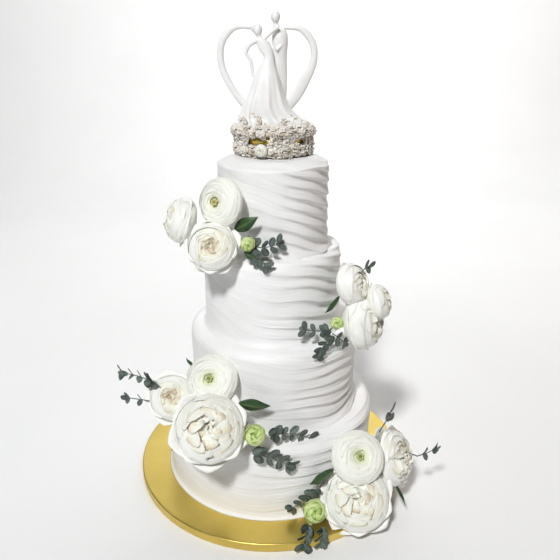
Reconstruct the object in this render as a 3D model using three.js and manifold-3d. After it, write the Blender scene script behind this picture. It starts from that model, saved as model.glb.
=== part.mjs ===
// A four-tier buttercream wedding cake on a round gold cake drum, with four sprays of
// fresh flowers and a porcelain topper: a faceless couple before an open heart.
// Millimetres, +Z up, front towards -Y, origin at the centre of the drum's underside.
import * as THREE from "three";
import { mergeVertices } from "three/addons/utils/BufferGeometryUtils.js";
import Module from "manifold-3d";

const wasm = await Module();
wasm.setup();

const GAP = 0.3; // clearance between pieces that touch
const CUT_GAP = 0.5; // clearance left round a piece that another is cut by
const SAME_POINT = 1e-4; // points closer than this are one
const TURN = 2 * Math.PI;

const MATERIALS = {
  buttercream: new THREE.MeshStandardMaterial({ color: 0xf1f0ef, roughness: 0.6 }),
  gold_foil: new THREE.MeshStandardMaterial({ color: 0xc4a64e, roughness: 0.35, metalness: 0.9 }),
  petal: new THREE.MeshStandardMaterial({ color: 0xf3f0e2, roughness: 0.7 }),
  bud_green: new THREE.MeshStandardMaterial({ color: 0xc6d88c, roughness: 0.6 }),
  leaf_green: new THREE.MeshStandardMaterial({ color: 0x34502f, roughness: 0.5 }),
  eucalyptus: new THREE.MeshStandardMaterial({ color: 0x4a625c, roughness: 0.6 }),
  porcelain: new THREE.MeshStandardMaterial({ color: 0xeeecea, roughness: 0.4 }),
  floret: new THREE.MeshStandardMaterial({ color: 0xe6dccb, roughness: 0.7 }),
};

const DRUM = { radius: 205, thickness: 13, bevel: 1, segments: 52 };

// Tiers from the bottom up: 12, 10, 8 and 6 inch cakes in a coat of buttercream. starts is
// how many spatula strokes spiral round at once, pitch their spacing, relief their depth.
const TIER_Y = -3.2;
const TIERS = [
  { name: "tier_bottom", x: -1.7, radius: 156, height: 112, round: 13, starts: 4, columns: 32 },
  { name: "tier_lower", x: 4.3, radius: 122, height: 122, round: 13, starts: 6, columns: 28 },
  { name: "tier_upper", x: 2.9, radius: 98, height: 116, round: 12, starts: 8, columns: 28 },
  { name: "tier_top", x: 4.4, radius: 76, height: 115, round: 5, starts: 9, columns: 24 },
];
const STROKE_PITCH = 17;
const STROKE_RELIEF = { tier_bottom: 1.4, tier_lower: 2.2, tier_upper: 2.6, tier_top: 3 };
const TOP_DOME = { rise: 6, radius: 52 }; // the top tier rises a little towards the topper

// ---- Building closed solids ----

// A closed solid from meridians: lists of points of one length, in turn round the body, the
// last meridian lying on the first. A meridian runs from pole to pole, or closes on itself.
// Past the strip number mirrorFrom the diagonals lean the other way.
function solidOf(meridians, mirrorFrom = Infinity) {
  const positions = [];
  const face = (a, b, c) => {
    const sides = [a.distanceTo(b), b.distanceTo(c), c.distanceTo(a)];
    if (Math.min(...sides) > SAME_POINT) positions.push(...a, ...b, ...c);
  };
  for (let strip = 0; strip + 1 < meridians.length; strip++) {
    const here = meridians[strip];
    const next = meridians[strip + 1];
    for (let k = 0; k + 1 < here.length; k++) {
      if (strip < mirrorFrom) {
        face(here[k], next[k], next[k + 1]);
        face(here[k], next[k + 1], here[k + 1]);
      } else {
        face(here[k], next[k], here[k + 1]);
        face(next[k], next[k + 1], here[k + 1]);
      }
    }
  }
  const soup = new THREE.BufferGeometry();
  soup.setAttribute("position", new THREE.Float32BufferAttribute(positions, 3));
  const merged = mergeVertices(soup, SAME_POINT);
  const solid = manifoldOf(merged.attributes.position.array, new Uint32Array(merged.index.array));
  if (solid.volume() > 0) return solid;
  return manifoldOf(merged.attributes.position.array, new Uint32Array(merged.index.array).reverse());
}

function manifoldOf(vertProperties, triVerts) {
  return new wasm.Manifold(new wasm.Mesh({ numProp: 3, vertProperties, triVerts }));
}

// The largest body of a solid that a cut may have parted.
function largestBody(solid) {
  const bodies = solid.decompose();
  return bodies.reduce((best, body) => (body.volume() > best.volume() ? body : best));
}

// The solid grown by about the cut gap: itself joined with copies pushed each way.
function swollen(solid) {
  const pushes = [0, 1, 2].flatMap((axis) =>
    [-CUT_GAP, CUT_GAP].map((push) => [0, 1, 2].map((i) => (i === axis ? push : 0))),
  );
  return pushes.reduce((grown, push) => grown.add(solid.translate(push)), solid);
}

function meshOf(name, solid, material) {
  const data = solid.getMesh();
  const geometry = new THREE.BufferGeometry();
  geometry.setAttribute("position", new THREE.BufferAttribute(data.vertProperties, 3));
  geometry.setIndex(new THREE.BufferAttribute(data.triVerts, 1));
  geometry.computeVertexNormals();
  const mesh = new THREE.Mesh(geometry, material);
  mesh.name = name;
  return mesh;
}

// A repeatable draw from 0 to 1 for the item with numbers a and b.
function draw(a, b) {
  const value = Math.sin(a * 12.9898 + b * 78.233) * 43758.5453;
  return value - Math.floor(value);
}

const radians = THREE.MathUtils.degToRad;

// A point given by its azimuth in degrees (-90 is the front), distance from the axis and height.
function polar(azimuth, distance, z) {
  const angle = radians(azimuth);
  return new THREE.Vector3(distance * Math.cos(angle), distance * Math.sin(angle), z);
}

// A unit direction given by its azimuth and elevation in degrees.
function direction(azimuth, elevation) {
  const level = Math.cos(radians(elevation));
  return polar(azimuth, level, Math.sin(radians(elevation)));
}

// ---- Drum and tiers ----

// A body of revolution round the vertical line at (x, y), from its profile of [radius, z].
function turned(profile, segments, x, y) {
  const meridians = [];
  for (let i = 0; i <= segments; i++) {
    const angle = (TURN * (i % segments)) / segments;
    const at = ([radius, z]) =>
      new THREE.Vector3(x + radius * Math.cos(angle), y + radius * Math.sin(angle), z);
    meridians.push(profile.map(at));
  }
  return solidOf(meridians);
}

function drum(grow = 0) {
  const { radius, thickness, bevel, segments } = DRUM;
  const profile = [
    [0, 0],
    [radius + grow, 0],
    [radius + grow, thickness - bevel],
    [radius + grow - bevel, thickness + grow],
    [0, thickness + grow],
  ];
  return turned(profile, segments, 0, 0);
}

// Radius and height on a tier's side at the length s up its profile, inset below its skin.
function sidePoint(tier, s, inset) {
  const wall = tier.height - tier.round;
  const bend = Math.max(0, s - wall) / tier.round;
  const arm = tier.round - inset;
  const radius = tier.radius - tier.round + arm * Math.cos(bend);
  return [radius, Math.min(s, wall) + arm * Math.sin(bend)];
}

// Depth of the strokes at an angle and a length up the side: sharp crests, round troughs.
function strokeInset(tier, angle, s) {
  const stroke = s / STROKE_PITCH + (tier.starts * angle) / TURN;
  const patch = 0.72 + 0.28 * Math.sin(3 * angle + s / 23 + tier.radius);
  return STROKE_RELIEF[tier.name] * patch * Math.abs(Math.sin(Math.PI * stroke));
}

// A tier whose rows of points follow the strokes: one row on each crest, one in each trough.
function tierSolid(tier, bottom) {
  const { columns, starts, height, round, name } = tier;
  const length = height - round + (round * Math.PI) / 2;
  const rows = Math.ceil((2 * length) / STROKE_PITCH) + 2 * starts;
  const meridians = [];
  for (let i = 0; i <= columns; i++) {
    const angle = (TURN * (i % columns)) / columns;
    const turns = i / columns;
    const at = (radius, z) =>
      new THREE.Vector3(tier.x + radius * Math.cos(angle), TIER_Y + radius * Math.sin(angle), z);
    const meridian = [at(0, bottom)];
    for (let row = 0; row <= rows; row++) {
      const free = STROKE_PITCH * (row / 2 - starts * turns);
      const s = Math.min(Math.max(free, 0), length);
      const [radius, z] = sidePoint(tier, s, strokeInset(tier, angle, s));
      meridian.push(at(radius, bottom + z));
    }
    const rise = name === "tier_top" ? TOP_DOME.rise : 0;
    meridian.push(at(TOP_DOME.radius, bottom + height + rise));
    meridian.push(at(0, bottom + height + rise));
    meridians.push(meridian);
  }
  return solidOf(meridians);
}

// The plain body that clears a tier all round.
function tierClearance(tier, bottom) {
  const { radius, height, round, name } = tier;
  const steps = 4;
  const profile = [[0, bottom - CUT_GAP]];
  profile.push([radius + CUT_GAP, bottom - CUT_GAP]);
  for (let i = 0; i <= steps; i++) {
    const bend = (i * Math.PI) / 2 / steps;
    const arm = round + CUT_GAP;
    const z = bottom + height - round + arm * Math.sin(bend);
    profile.push([radius - round + arm * Math.cos(bend), z]);
  }
  const rise = name === "tier_top" ? TOP_DOME.rise : 0;
  profile.push([TOP_DOME.radius, bottom + height + rise + CUT_GAP]);
  profile.push([0, bottom + height + rise + CUT_GAP]);
  return turned(profile, 72, tier.x, TIER_Y);
}

// ---- Flowers and greens ----

// Head profiles from the eye to the stem, as [distance from the axis, height] in head radii.
const HEADS = {
  ranunculus: {
    profile: [[0, 0.44], [0.17, 0.5], [0.36, 0.58], [0.6, 0.54], [0.82, 0.38], [0.96, 0.15],
      [1, -0.08], [0.86, -0.34], [0.45, -0.52], [0, -0.56]],
    petals: 7,
    lobe: 0.03,
    sides: 14,
  },
  rose: {
    profile: [[0, 0.2], [0.2, 0.26], [0.36, 0.36], [0.53, 0.51], [0.7, 0.52], [0.9, 0.32],
      [1, 0.08], [0.9, -0.16], [0.52, -0.42], [0, -0.54]],
    petals: 5,
    lobe: 0.06,
    sides: 15,
  },
  bud: {
    profile: [[0, 1.2], [0.45, 1.02], [0.85, 0.55], [1, 0], [0.82, -0.6], [0.4, -0.95], [0, -1]],
    petals: 3,
    lobe: 0.05,
    sides: 9,
  },
};

// Flower heads: kind, radius, place of the widest ring (azimuth, distance, z), the way the
// face looks (azimuth, elevation), and how far the petals are turned round it, in degrees.
// Neighbours are cut clear in this order.
const FLOWERS = [
  ["top_ranunculus", "ranunculus", 31, [-128, 100, 439], [-122, 14], 0],
  ["top_rose", "rose", 32, [-126.5, 122, 388], [-94, 24], 20],
  ["top_rose_side", "rose", 27, [-149.5, 130, 412], [-160, 22], 0],
  ["right_rose_upper", "rose", 26, [-34, 130, 326], [-48, 26], 30],
  ["right_rose_lower", "rose", 35, [-33, 146, 275], [-36, 18], 10],
  ["right_rose_back", "rose", 22, [-29, 163, 304], [-20, 16], 0],
  ["left_garden_rose", "rose", 46, [-115, 184, 168], [-82, 42], 50],
  ["left_ranunculus", "ranunculus", 35, [-123, 142, 210], [-104, 38], 0],
  ["left_ranunculus_pale", "ranunculus", 32, [-139, 175, 181], [-78, 38], 25],
  ["low_garden_rose", "rose", 45, [-54, 199, 48], [-95, 38], 98],
  ["low_ranunculus", "ranunculus", 36, [-51, 186, 104], [-84, 42], 0],
  ["low_rose_side", "rose", 41, [-32.5, 204, 76], [-36, 26], 20],
];

const BUDS = [
  ["top_bud", 9, [-105, 108, 393], [-78, -8]],
  ["right_bud", 8.5, [-49, 132, 283], [-85, 20]],
  ["left_bud", 14, [-97, 168, 157], [-84, 44]],
  ["low_bud", 16, [-71, 180, 36], [-88, 36]],
];

// Leaves: base and tip (azimuth, distance, z), and width.
const LEAVES = [
  ["top_leaf", [-119, 94, 404], [-99, 92, 424], 17],
  ["top_leaf_low", [-108, 106, 382], [-97, 104, 372], 13],
  ["top_leaf_back", [-150.4, 134, 396], [-153, 141, 386], 6],
  ["right_leaf", [-37, 116, 309], [-48, 108, 288], 12],
  ["left_leaf", [-106, 152, 192], [-90, 140, 183], 18],
  ["left_leaf_tip", [-135, 142, 216], [-139, 150, 232], 9],
  ["left_leaf_low", [-134.7, 182, 125], [-138, 184, 100], 9],
  ["low_leaf", [-61, 174, 90], [-72, 166, 70], 19],
  ["low_leaf_right", [-36, 212, 46], [-39.5, 240, 29], 14],
];

// Eucalyptus: three places along the stem (azimuth, distance, z), leaf pairs and leaf length.
const SPRIGS = [
  ["top_sprig", [[-105, 104, 389], [-93, 96, 386], [-79, 88, 390]], 4, 13],
  ["top_sprig_low", [[-103, 106, 379], [-97, 105, 372], [-90, 104, 361]], 3, 11],
  ["right_sprig", [[-51, 126, 272], [-60, 116, 272], [-70, 111, 278]], 3, 12],
  ["right_sprig_low", [[-50, 128, 264], [-57, 128, 254], [-62, 129, 239]], 4, 12],
  ["right_sprig_mid", [[-48.3, 124, 264], [-41.8, 127, 251], [-34, 128, 235]], 2, 12],
  ["right_sprig_top", [[-33.4, 142, 346], [-31, 145, 350], [-25, 152, 354]], 1, 15],
  ["left_sprig", [[-91, 158, 150], [-80, 146, 142], [-64, 140, 120]], 5, 14],
  ["left_sprig_low", [[-98, 172, 131], [-89, 166, 120], [-79, 164, 100]], 4, 16],
  ["left_sprig_out", [[-139.9, 196, 210], [-144.9, 212, 218], [-148.8, 232, 223]], 4, 14],
  ["left_twig_out", [[-142.8, 202, 180], [-146.3, 216, 182], [-149.4, 232, 184]], 2, 11],
  ["low_sprig", [[-69, 172, 66], [-74, 166, 47], [-82, 163, 28]], 4, 12],
  ["low_sprig_down", [[-75, 192, 26], [-77, 202, 20], [-79, 214, 8]], 3, 14],
  ["low_sprig_edge", [[-70, 196, 22], [-71, 206, 18], [-72.5, 214, 7]], 3, 13],
  ["low_sprig_out", [[-30, 236, 84], [-27, 248, 86], [-24, 262, 92]], 2, 14],
  ["low_sprig_top", [[-38, 196, 140], [-36, 200, 152], [-38, 204, 165]], 2, 16],
];
const STEM_RADIUS = 1.1;

// Roots of the stems that stand clear of the icing: a place inside the flower that carries them.
const ROOTS = {
  right_leaf: [-34.1, 125, 324],
  left_leaf_low: [-122.6, 198, 164],
  right_sprig: [-49, 131, 281],
  right_sprig_top: [-34.2, 120, 322],
  left_sprig_out: [-142.7, 169, 171],
  left_twig_out: [-142, 170, 173],
  low_sprig_out: [-26.8, 206, 78],
  low_sprig_top: [-28.7, 175, 95],
};
const ROOT_RADIUS = 0.9;
const ROOT_OVERLAP = 0.1;

// The axes of a thing that looks along forward: across, upward and forward.
function axesAlong(forward) {
  const across = new THREE.Vector3(0, 0, 1).cross(forward).normalize();
  const upward = forward.clone().cross(across);
  return new THREE.Matrix4().makeBasis(across, upward, forward);
}

function headSolid(kind, size, place, look, spin, grow = 0) {
  const { profile, petals, lobe, sides } = HEADS[kind];
  const frame = axesAlong(direction(...look)).setPosition(polar(...place));
  const scale = size + grow;
  const meridians = [];
  for (let i = 0; i <= sides; i++) {
    const angle = (TURN * (i % sides)) / sides;
    const at = ([out, height]) => {
      const wave = 1 + lobe * out * Math.cos(petals * (angle - radians(spin)));
      const radius = scale * out * wave;
      const point = new THREE.Vector3(radius * Math.cos(angle), radius * Math.sin(angle));
      point.z = scale * height;
      return point.applyMatrix4(frame);
    };
    meridians.push(profile.map(at));
  }
  return solidOf(meridians);
}

// A thin leaf from base to tip, folded a little along its rib and arched away from the axis.
function leafSolid(base, tip, width, grow = 0) {
  const steps = 7;
  const thickness = 1.5 + 3 * grow;
  const arch = 0.12 * base.distanceTo(tip);
  const along = tip.clone().sub(base).normalize();
  const outward = new THREE.Vector3(base.x + tip.x, base.y + tip.y, 0).normalize();
  const across = outward.clone().cross(along).normalize();
  const face = along.clone().cross(across).normalize();
  const edge = (side, t) => {
    const reach = (0.5 * width + grow) * Math.sin(Math.PI * t ** 0.8);
    const lift = arch * Math.sin(Math.PI * t) - 0.35 * reach + 0.8 * Math.sin(9 * t + side);
    const point = base.clone().lerp(tip, t).addScaledVector(across, side * reach);
    return point.addScaledVector(face, t > 0 && t < 1 ? lift : 0);
  };
  const rib = (side, t) => {
    const half = t > 0 && t < 1 ? 0.5 * thickness : 0;
    const lift = arch * Math.sin(Math.PI * t) - side * half;
    return base.clone().lerp(tip, t).addScaledVector(face, lift);
  };
  const line = (pointAt, side) =>
    Array.from({ length: steps + 1 }, (_, k) => pointAt(side, k / steps));
  const lines = [line(edge, -1), line(rib, -1), line(edge, 1), line(rib, 1), line(edge, -1)];
  return solidOf(lines, 2);
}

// A tube along a curve, whose section is an ellipse with the half sizes (wide, deep) at t.
function tubeSolid(points, sizeAt, steps, sides, wideAxis) {
  const curve = new THREE.CatmullRomCurve3(points);
  const meridians = [];
  for (let i = 0; i <= sides; i++) {
    const angle = (TURN * (i % sides)) / sides;
    const meridian = [curve.getPoint(0)];
    for (let k = 0; k <= steps; k++) {
      const t = k / steps;
      const tangent = curve.getTangent(t);
      const deepAxis = tangent.clone().cross(wideAxis).normalize();
      const wide = deepAxis.clone().cross(tangent);
      const [halfWide, halfDeep] = sizeAt(t);
      const point = curve.getPoint(t).addScaledVector(wide, halfWide * Math.cos(angle));
      meridian.push(point.addScaledVector(deepAxis, halfDeep * Math.sin(angle)));
    }
    meridian.push(curve.getPoint(1));
    meridians.push(meridian);
  }
  return solidOf(meridians);
}

// A flat lens with six corners: one small round leaf.
function lensSolid(centre, long, short, normal, halfLength, halfWidth, halfThick) {
  const corners = 6;
  const meridians = [];
  for (let i = 0; i <= corners; i++) {
    const angle = (TURN * (i % corners)) / corners;
    const rim = centre.clone().addScaledVector(long, halfLength * Math.cos(angle));
    rim.addScaledVector(short, halfWidth * Math.sin(angle));
    const top = centre.clone().addScaledVector(normal, halfThick);
    const bottom = centre.clone().addScaledVector(normal, -halfThick);
    meridians.push([top, rim, bottom]);
  }
  return solidOf(meridians);
}

// A piece whose stem stands clear of the icing, with that stem run back to its root from
// foot, a little of the piece's own length ahead.
function withRoot(name, solid, foot, ahead, grow) {
  if (!(name in ROOTS)) return solid;
  const from = polar(...ROOTS[name]);
  const to = foot.clone().lerp(ahead, ROOT_OVERLAP);
  const size = ROOT_RADIUS + grow;
  const points = [from, from.clone().lerp(to, 0.5), to];
  const stem = tubeSolid(points, () => [size, size], 2, 3, new THREE.Vector3(0, 0, 1));
  return solid.add(stem);
}

// A eucalyptus sprig: a thin stem with pairs of round leaves and one at its tip.
function sprigSolid(number, places, pairs, leafLength, grow = 0) {
  const points = places.map((place) => polar(...place));
  const curve = new THREE.CatmullRomCurve3(points);
  const outward = new THREE.Vector3(points[1].x, points[1].y, 0).normalize();
  const taper = (t) => [STEM_RADIUS * (1 - 0.4 * t) + grow, STEM_RADIUS * (1 - 0.4 * t) + grow];
  let sprig = tubeSolid(points, taper, 3, 3, new THREE.Vector3(0, 0, 1));
  const addLeaf = (t, side, item) => {
    const tangent = curve.getTangent(t);
    const across = outward.clone().cross(tangent).normalize().multiplyScalar(side);
    const long = across.clone().addScaledVector(tangent, side === 0 ? 1 : 0.7).normalize();
    const tilt = 0.9 * (draw(number, item) - 0.5);
    const short = outward.clone().cross(long).normalize();
    const normal = long.clone().cross(short).normalize().addScaledVector(short, tilt).normalize();
    const broad = normal.clone().cross(long).normalize();
    const half = 0.5 * leafLength * (0.85 + 0.3 * draw(item, number));
    const centre = curve.getPoint(t).addScaledVector(long, half + 0.3 * STEM_RADIUS);
    const sizes = [half, 0.7 * half, 0.9].map((size) => size + grow);
    sprig = sprig.add(lensSolid(centre, long, broad, normal, ...sizes));
  };
  for (let pair = 0; pair < pairs; pair++) {
    const t = (pair + 0.6) / (pairs + 0.3);
    addLeaf(t, 1, 2 * pair);
    addLeaf(t + 0.02, -1, 2 * pair + 1);
  }
  addLeaf(1, 0, 2 * pairs);
  return sprig;
}

// ---- Topper ----

// The topper stands back from the middle of the top tier. Its own places are measured from
// the middle of its foot: x, y back, z up.
const TOPPER = { x: 4.6, y: 14, radius: 46, height: 34, segments: 28 };
const BAND = { bottom: 16, top: 25, thickness: 0.8 };
const HEART_DEPTH = 9; // how far behind the figures the heart stands

function lofted(stations, sides, foldAt = () => 0) {
  const meridians = [];
  const first = stations[0];
  const last = stations[stations.length - 1];
  for (let i = 0; i <= sides; i++) {
    const angle = (TURN * (i % sides)) / sides;
    const at = ([x, y, z, wide, deep], k) => {
      const fold = 1 + foldAt(angle, k);
      const across = wide * fold * Math.cos(angle);
      return new THREE.Vector3(x + across, y + deep * fold * Math.sin(angle), z);
    };
    const pole = ([x, y, z]) => new THREE.Vector3(x, y, z);
    meridians.push([pole(first), ...stations.map(at), pole(last)]);
  }
  return solidOf(meridians);
}

function egg(x, y, z, wide, deep, high, sides = 9) {
  const stations = [];
  const steps = 5;
  for (let k = 0; k <= steps; k++) {
    const angle = (Math.PI * k) / steps;
    const slim = Math.sin(angle);
    stations.push([x, y, z - high * Math.cos(angle), wide * slim, deep * slim]);
  }
  return lofted(stations, sides);
}

const vector = (x, y, z) => new THREE.Vector3(x, y, z);
const limb = (points, radius) =>
  tubeSolid(points, (t) => [radius * (1 - 0.3 * t), radius * (1 - 0.3 * t)], 4, 5, vector(0, 1, 0));

function groomSolid() {
  const body = lofted(
    [
      [6, 8, 34.5, 9.5, 7],
      [7, 8, 62, 10, 6.5],
      [8, 7, 96, 10, 6],
      [8.5, 7, 124, 9, 6],
      [8.5, 6, 142, 10.2, 6],
      [7, 6, 153, 9, 5.5],
      [4, 5.5, 158, 4, 3.8],
      [3, 5, 163, 3, 3],
    ],
    10,
  );
  return body.add(egg(2.8, 4.5, 168.5, 6, 6.6, 7.3));
}

function brideSolid() {
  const folds = (angle, k) => (k < 6 ? 0.05 * Math.cos(6 * angle) : 0);
  const gown = lofted(
    [
      [-0.6, -8, 34.5, 45, 22],
      [-0.8, -8, 41, 44.6, 21.5],
      [-6, -8, 48, 37.5, 19],
      [-10, -8, 60, 30, 17],
      [-9.4, -7, 78, 22.5, 14.5],
      [-8.6, -6, 96, 16.5, 11.5],
      [-7.5, -5, 110, 10.5, 8],
      [-6, -5, 121, 6.5, 5.5],
      [-9.8, -4.5, 130, 8.8, 5.5],
      [-13.6, -4, 139, 8.2, 5],
      [-17, -4, 144, 4, 3.4],
      [-19, -4, 150, 2.8, 2.8],
    ],
    12,
    folds,
  );
  const head = egg(-19.6, -4, 153, 5.8, 6.2, 7.6);
  const bun = egg(-23.6, -0.5, 154.5, 4.6, 5, 4.6, 8);
  const hanging = [[-20, 141], [-31, 134.5], [-34.5, 126], [-29, 116], [-26, 97]];
  const embracing = [[-16, 139], [-6, 147.5], [7, 157.5]];
  const arm = limb(hanging.map(([x, z]) => vector(x, -5, z)), 3);
  const reach = limb(embracing.map(([x, z]) => vector(x, -4 - 0.1 * (x + 16), z)), 3);
  return gown.add(head).add(bun).add(arm).add(reach);
}

// Each half of the heart is a flat ribbon that rises behind the gown, swells and curls in.
const HEART_LEFT = [[-12, 36], [-40, 62], [-56, 84], [-68, 112], [-66, 139], [-50, 156], [-27, 156]];
const HEART_RIGHT = [[-2, 36], [22, 62], [39, 88], [52, 114], [51, 137], [36, 154], [14, 156]];

function heartHalf(places, broadFoot) {
  const points = places.map(([x, z]) => vector(x, HEART_DEPTH + 3, z));
  const sizeAt = (t) => {
    const swell = 1 + broadFoot * Math.exp(-(((t - 0.27) / 0.16) ** 2));
    const end = Math.min(1, 0.45 + 2.4 * (1 - t));
    return [3, 4.4 * swell * end];
  };
  return tubeSolid(points, sizeAt, 12, 6, vector(0, 1, 0));
}

// A garland of small blossoms: a ring whose skin stands out in turn at every other point.
function garland(radius, z, halfWide, halfHigh, blossoms, swell) {
  const across = 6; // points round the ring's section, the middle one against the foot
  const around = 2 * blossoms;
  const meridians = [];
  for (let i = 0; i <= around; i++) {
    const step = i % around;
    const angle = (TURN * step) / around;
    const loop = [];
    for (let k = 0; k <= across; k++) {
      const place = k % across;
      const turn = (TURN * place) / across;
      const bump = (step + place) % 2 === 0 ? swell * (0.6 + 0.8 * draw(step, place)) : 0;
      const outer = Math.cos(turn) > -0.6 ? bump : 0;
      const out = radius + (halfWide + outer) * Math.cos(turn);
      const high = z + (halfHigh + outer) * Math.sin(turn);
      loop.push(new THREE.Vector3(out * Math.cos(angle), out * Math.sin(angle), high));
    }
    meridians.push(loop);
  }
  return solidOf(meridians);
}

function ring(inner, outer, bottom, top, segments) {
  const profile = [[inner, bottom], [outer, bottom], [outer, top], [inner, top], [inner, bottom]];
  return turned(profile, segments, 0, 0);
}

// The topper's pieces, in its own frame: name, solid and material.
function topperPieces() {
  const { radius, height, segments } = TOPPER;
  const block = (outer, low, high) =>
    turned([[0, low], [outer, low], [outer, high], [0, high]], segments, 0, 0);
  const foot = block(radius, 0, height);
  const footClear = block(radius + CUT_GAP, -CUT_GAP, height + GAP);
  const band = ring(radius + GAP, radius + GAP + BAND.thickness, BAND.bottom, BAND.top, segments);
  const upper = garland(radius + 4.6, height - 3.5, 3.6, 4, 16, 1.5);
  const lower = garland(radius + 3.6, 7.4, 3, 5.6, 15, 1.2);
  const satin = headSolid("rose", 8, [-106, radius + 12.4, 11], [-106, 0], 0);
  const satinCut = satin.subtract(swollen(lower)).subtract(swollen(band)).subtract(footClear);
  const bride = brideSolid().subtract(footClear);
  const groom = groomSolid().subtract(swollen(bride)).subtract(footClear);
  const figures = swollen(bride.add(groom)).add(footClear);
  const left = heartHalf(HEART_LEFT, 0).subtract(figures);
  const right = heartHalf(HEART_RIGHT, 0.75).subtract(figures).subtract(swollen(left));
  return [
    ["topper_foot", foot, "porcelain"],
    ["topper_band", band, "gold_foil"],
    ["topper_florets_upper", upper, "floret"],
    ["topper_florets_lower", lower, "floret"],
    ["topper_satin_rose", satinCut, "petal"],
    ["topper_bride", bride, "porcelain"],
    ["topper_groom", groom, "porcelain"],
    ["topper_heart_left", left, "porcelain"],
    ["topper_heart_right", right, "porcelain"],
  ];
}

// ---- Assembly ----

const cake = new THREE.Group();
const standing = []; // solids that later pieces are cut clear of

function addPiece(name, solid, material, clearance = null) {
  cake.add(meshOf(name, solid, MATERIALS[material]));
  if (clearance) standing.push(clearance);
}

// A piece with all that stands near it cut away.
function cutClear(solid) {
  const box = solid.boundingBox();
  const meets = (other) => {
    const far = other.boundingBox();
    return [0, 1, 2].every((i) => box.min[i] < far.max[i] && far.min[i] < box.max[i]);
  };
  const cut = standing.filter(meets).reduce((left, other) => left.subtract(other), solid);
  return largestBody(cut);
}

addPiece("cake_drum", drum(), "gold_foil", drum(CUT_GAP));

let floor = DRUM.thickness;
for (const tier of TIERS) {
  const bottom = floor + GAP;
  addPiece(tier.name, tierSolid(tier, bottom), "buttercream", tierClearance(tier, bottom));
  floor = bottom + tier.height;
}

for (const [name, ...shape] of FLOWERS) {
  addPiece(name, cutClear(headSolid(...shape)), "petal", headSolid(...shape, CUT_GAP));
}

for (const [name, ...place] of BUDS) {
  const shape = ["bud", ...place, 0];
  addPiece(name, cutClear(headSolid(...shape)), "bud_green", headSolid(...shape, CUT_GAP));
}

for (const [name, base, tip, width] of LEAVES) {
  const ends = [polar(...base), polar(...tip)];
  const leafGrown = (grow) => withRoot(name, leafSolid(...ends, width, grow), ...ends, grow);
  addPiece(name, cutClear(leafGrown(0)), "leaf_green", leafGrown(CUT_GAP));
}

SPRIGS.forEach(([name, places, ...leaves], number) => {
  const ends = [polar(...places[0]), polar(...places[1])];
  const sprigGrown = (grow) =>
    withRoot(name, sprigSolid(number, places, ...leaves, grow), ...ends, grow);
  addPiece(name, cutClear(sprigGrown(0)), "eucalyptus", sprigGrown(CUT_GAP));
});

const topper = new THREE.Group();
topper.position.set(TOPPER.x, TOPPER.y, floor + TOP_DOME.rise + GAP);
for (const [name, solid, material] of topperPieces()) {
  topper.add(meshOf(name, largestBody(solid), MATERIALS[material]));
}
cake.add(topper);

export default cake;
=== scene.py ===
"""The looks of a four-tier buttercream wedding cake with fresh flowers and a porcelain topper.

Every piece is built in millimetres in the cake's own frame (+Z up, front towards -Y, origin
at the centre of the drum's underside) and turned into metres when its mesh is made.
"""

import math

import bmesh
import bpy
import numpy as np
from mathutils import Matrix, Vector


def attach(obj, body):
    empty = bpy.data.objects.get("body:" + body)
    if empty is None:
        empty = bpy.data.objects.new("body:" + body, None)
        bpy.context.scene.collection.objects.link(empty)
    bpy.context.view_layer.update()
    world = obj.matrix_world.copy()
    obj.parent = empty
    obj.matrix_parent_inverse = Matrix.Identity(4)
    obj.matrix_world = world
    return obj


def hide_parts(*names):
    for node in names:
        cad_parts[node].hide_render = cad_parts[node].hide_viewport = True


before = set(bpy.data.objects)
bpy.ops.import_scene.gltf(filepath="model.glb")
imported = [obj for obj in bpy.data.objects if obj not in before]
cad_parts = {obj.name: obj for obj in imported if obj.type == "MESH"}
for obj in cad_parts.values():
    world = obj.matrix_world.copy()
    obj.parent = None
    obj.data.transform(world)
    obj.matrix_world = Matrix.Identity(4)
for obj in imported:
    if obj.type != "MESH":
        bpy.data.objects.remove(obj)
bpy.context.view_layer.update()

MM = 0.001
TAU = 2 * math.pi
UP = (0, 0, 1)
BACK = (0, 1, 0)

# ---- Sizes and places, as in the solids (mm; azimuth in degrees, -90 is the front) ----

DRUM = {"radius": 205, "thickness": 13, "bevel": 1, "sides": 576}
GAP = 0.3
TIER_Y = -3.2
# Each tier: starts is how many strokes spiral up side by side, relief how deep they are.
TIERS = [
    dict(name="tier_bottom", x=-1.7, radius=156, height=112, round=13, starts=4, relief=1.4),
    dict(name="tier_lower", x=4.3, radius=122, height=122, round=13, starts=6, relief=2.2),
    dict(name="tier_upper", x=2.9, radius=98, height=116, round=12, starts=8, relief=2.6),
    dict(name="tier_top", x=4.4, radius=76, height=115, round=5, starts=9, relief=3),
]
STROKE_PITCH = 17
# The tiers' mesh: how far apart its points are, up and round, and how far it runs on under
# the tier above, or in towards the middle of the top.
TIER_GRID = (1.05, 3.4)
COVERED = 8
INNERMOST = 4
TOP_DOME = {"rise": 6, "radius": 52}

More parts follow.
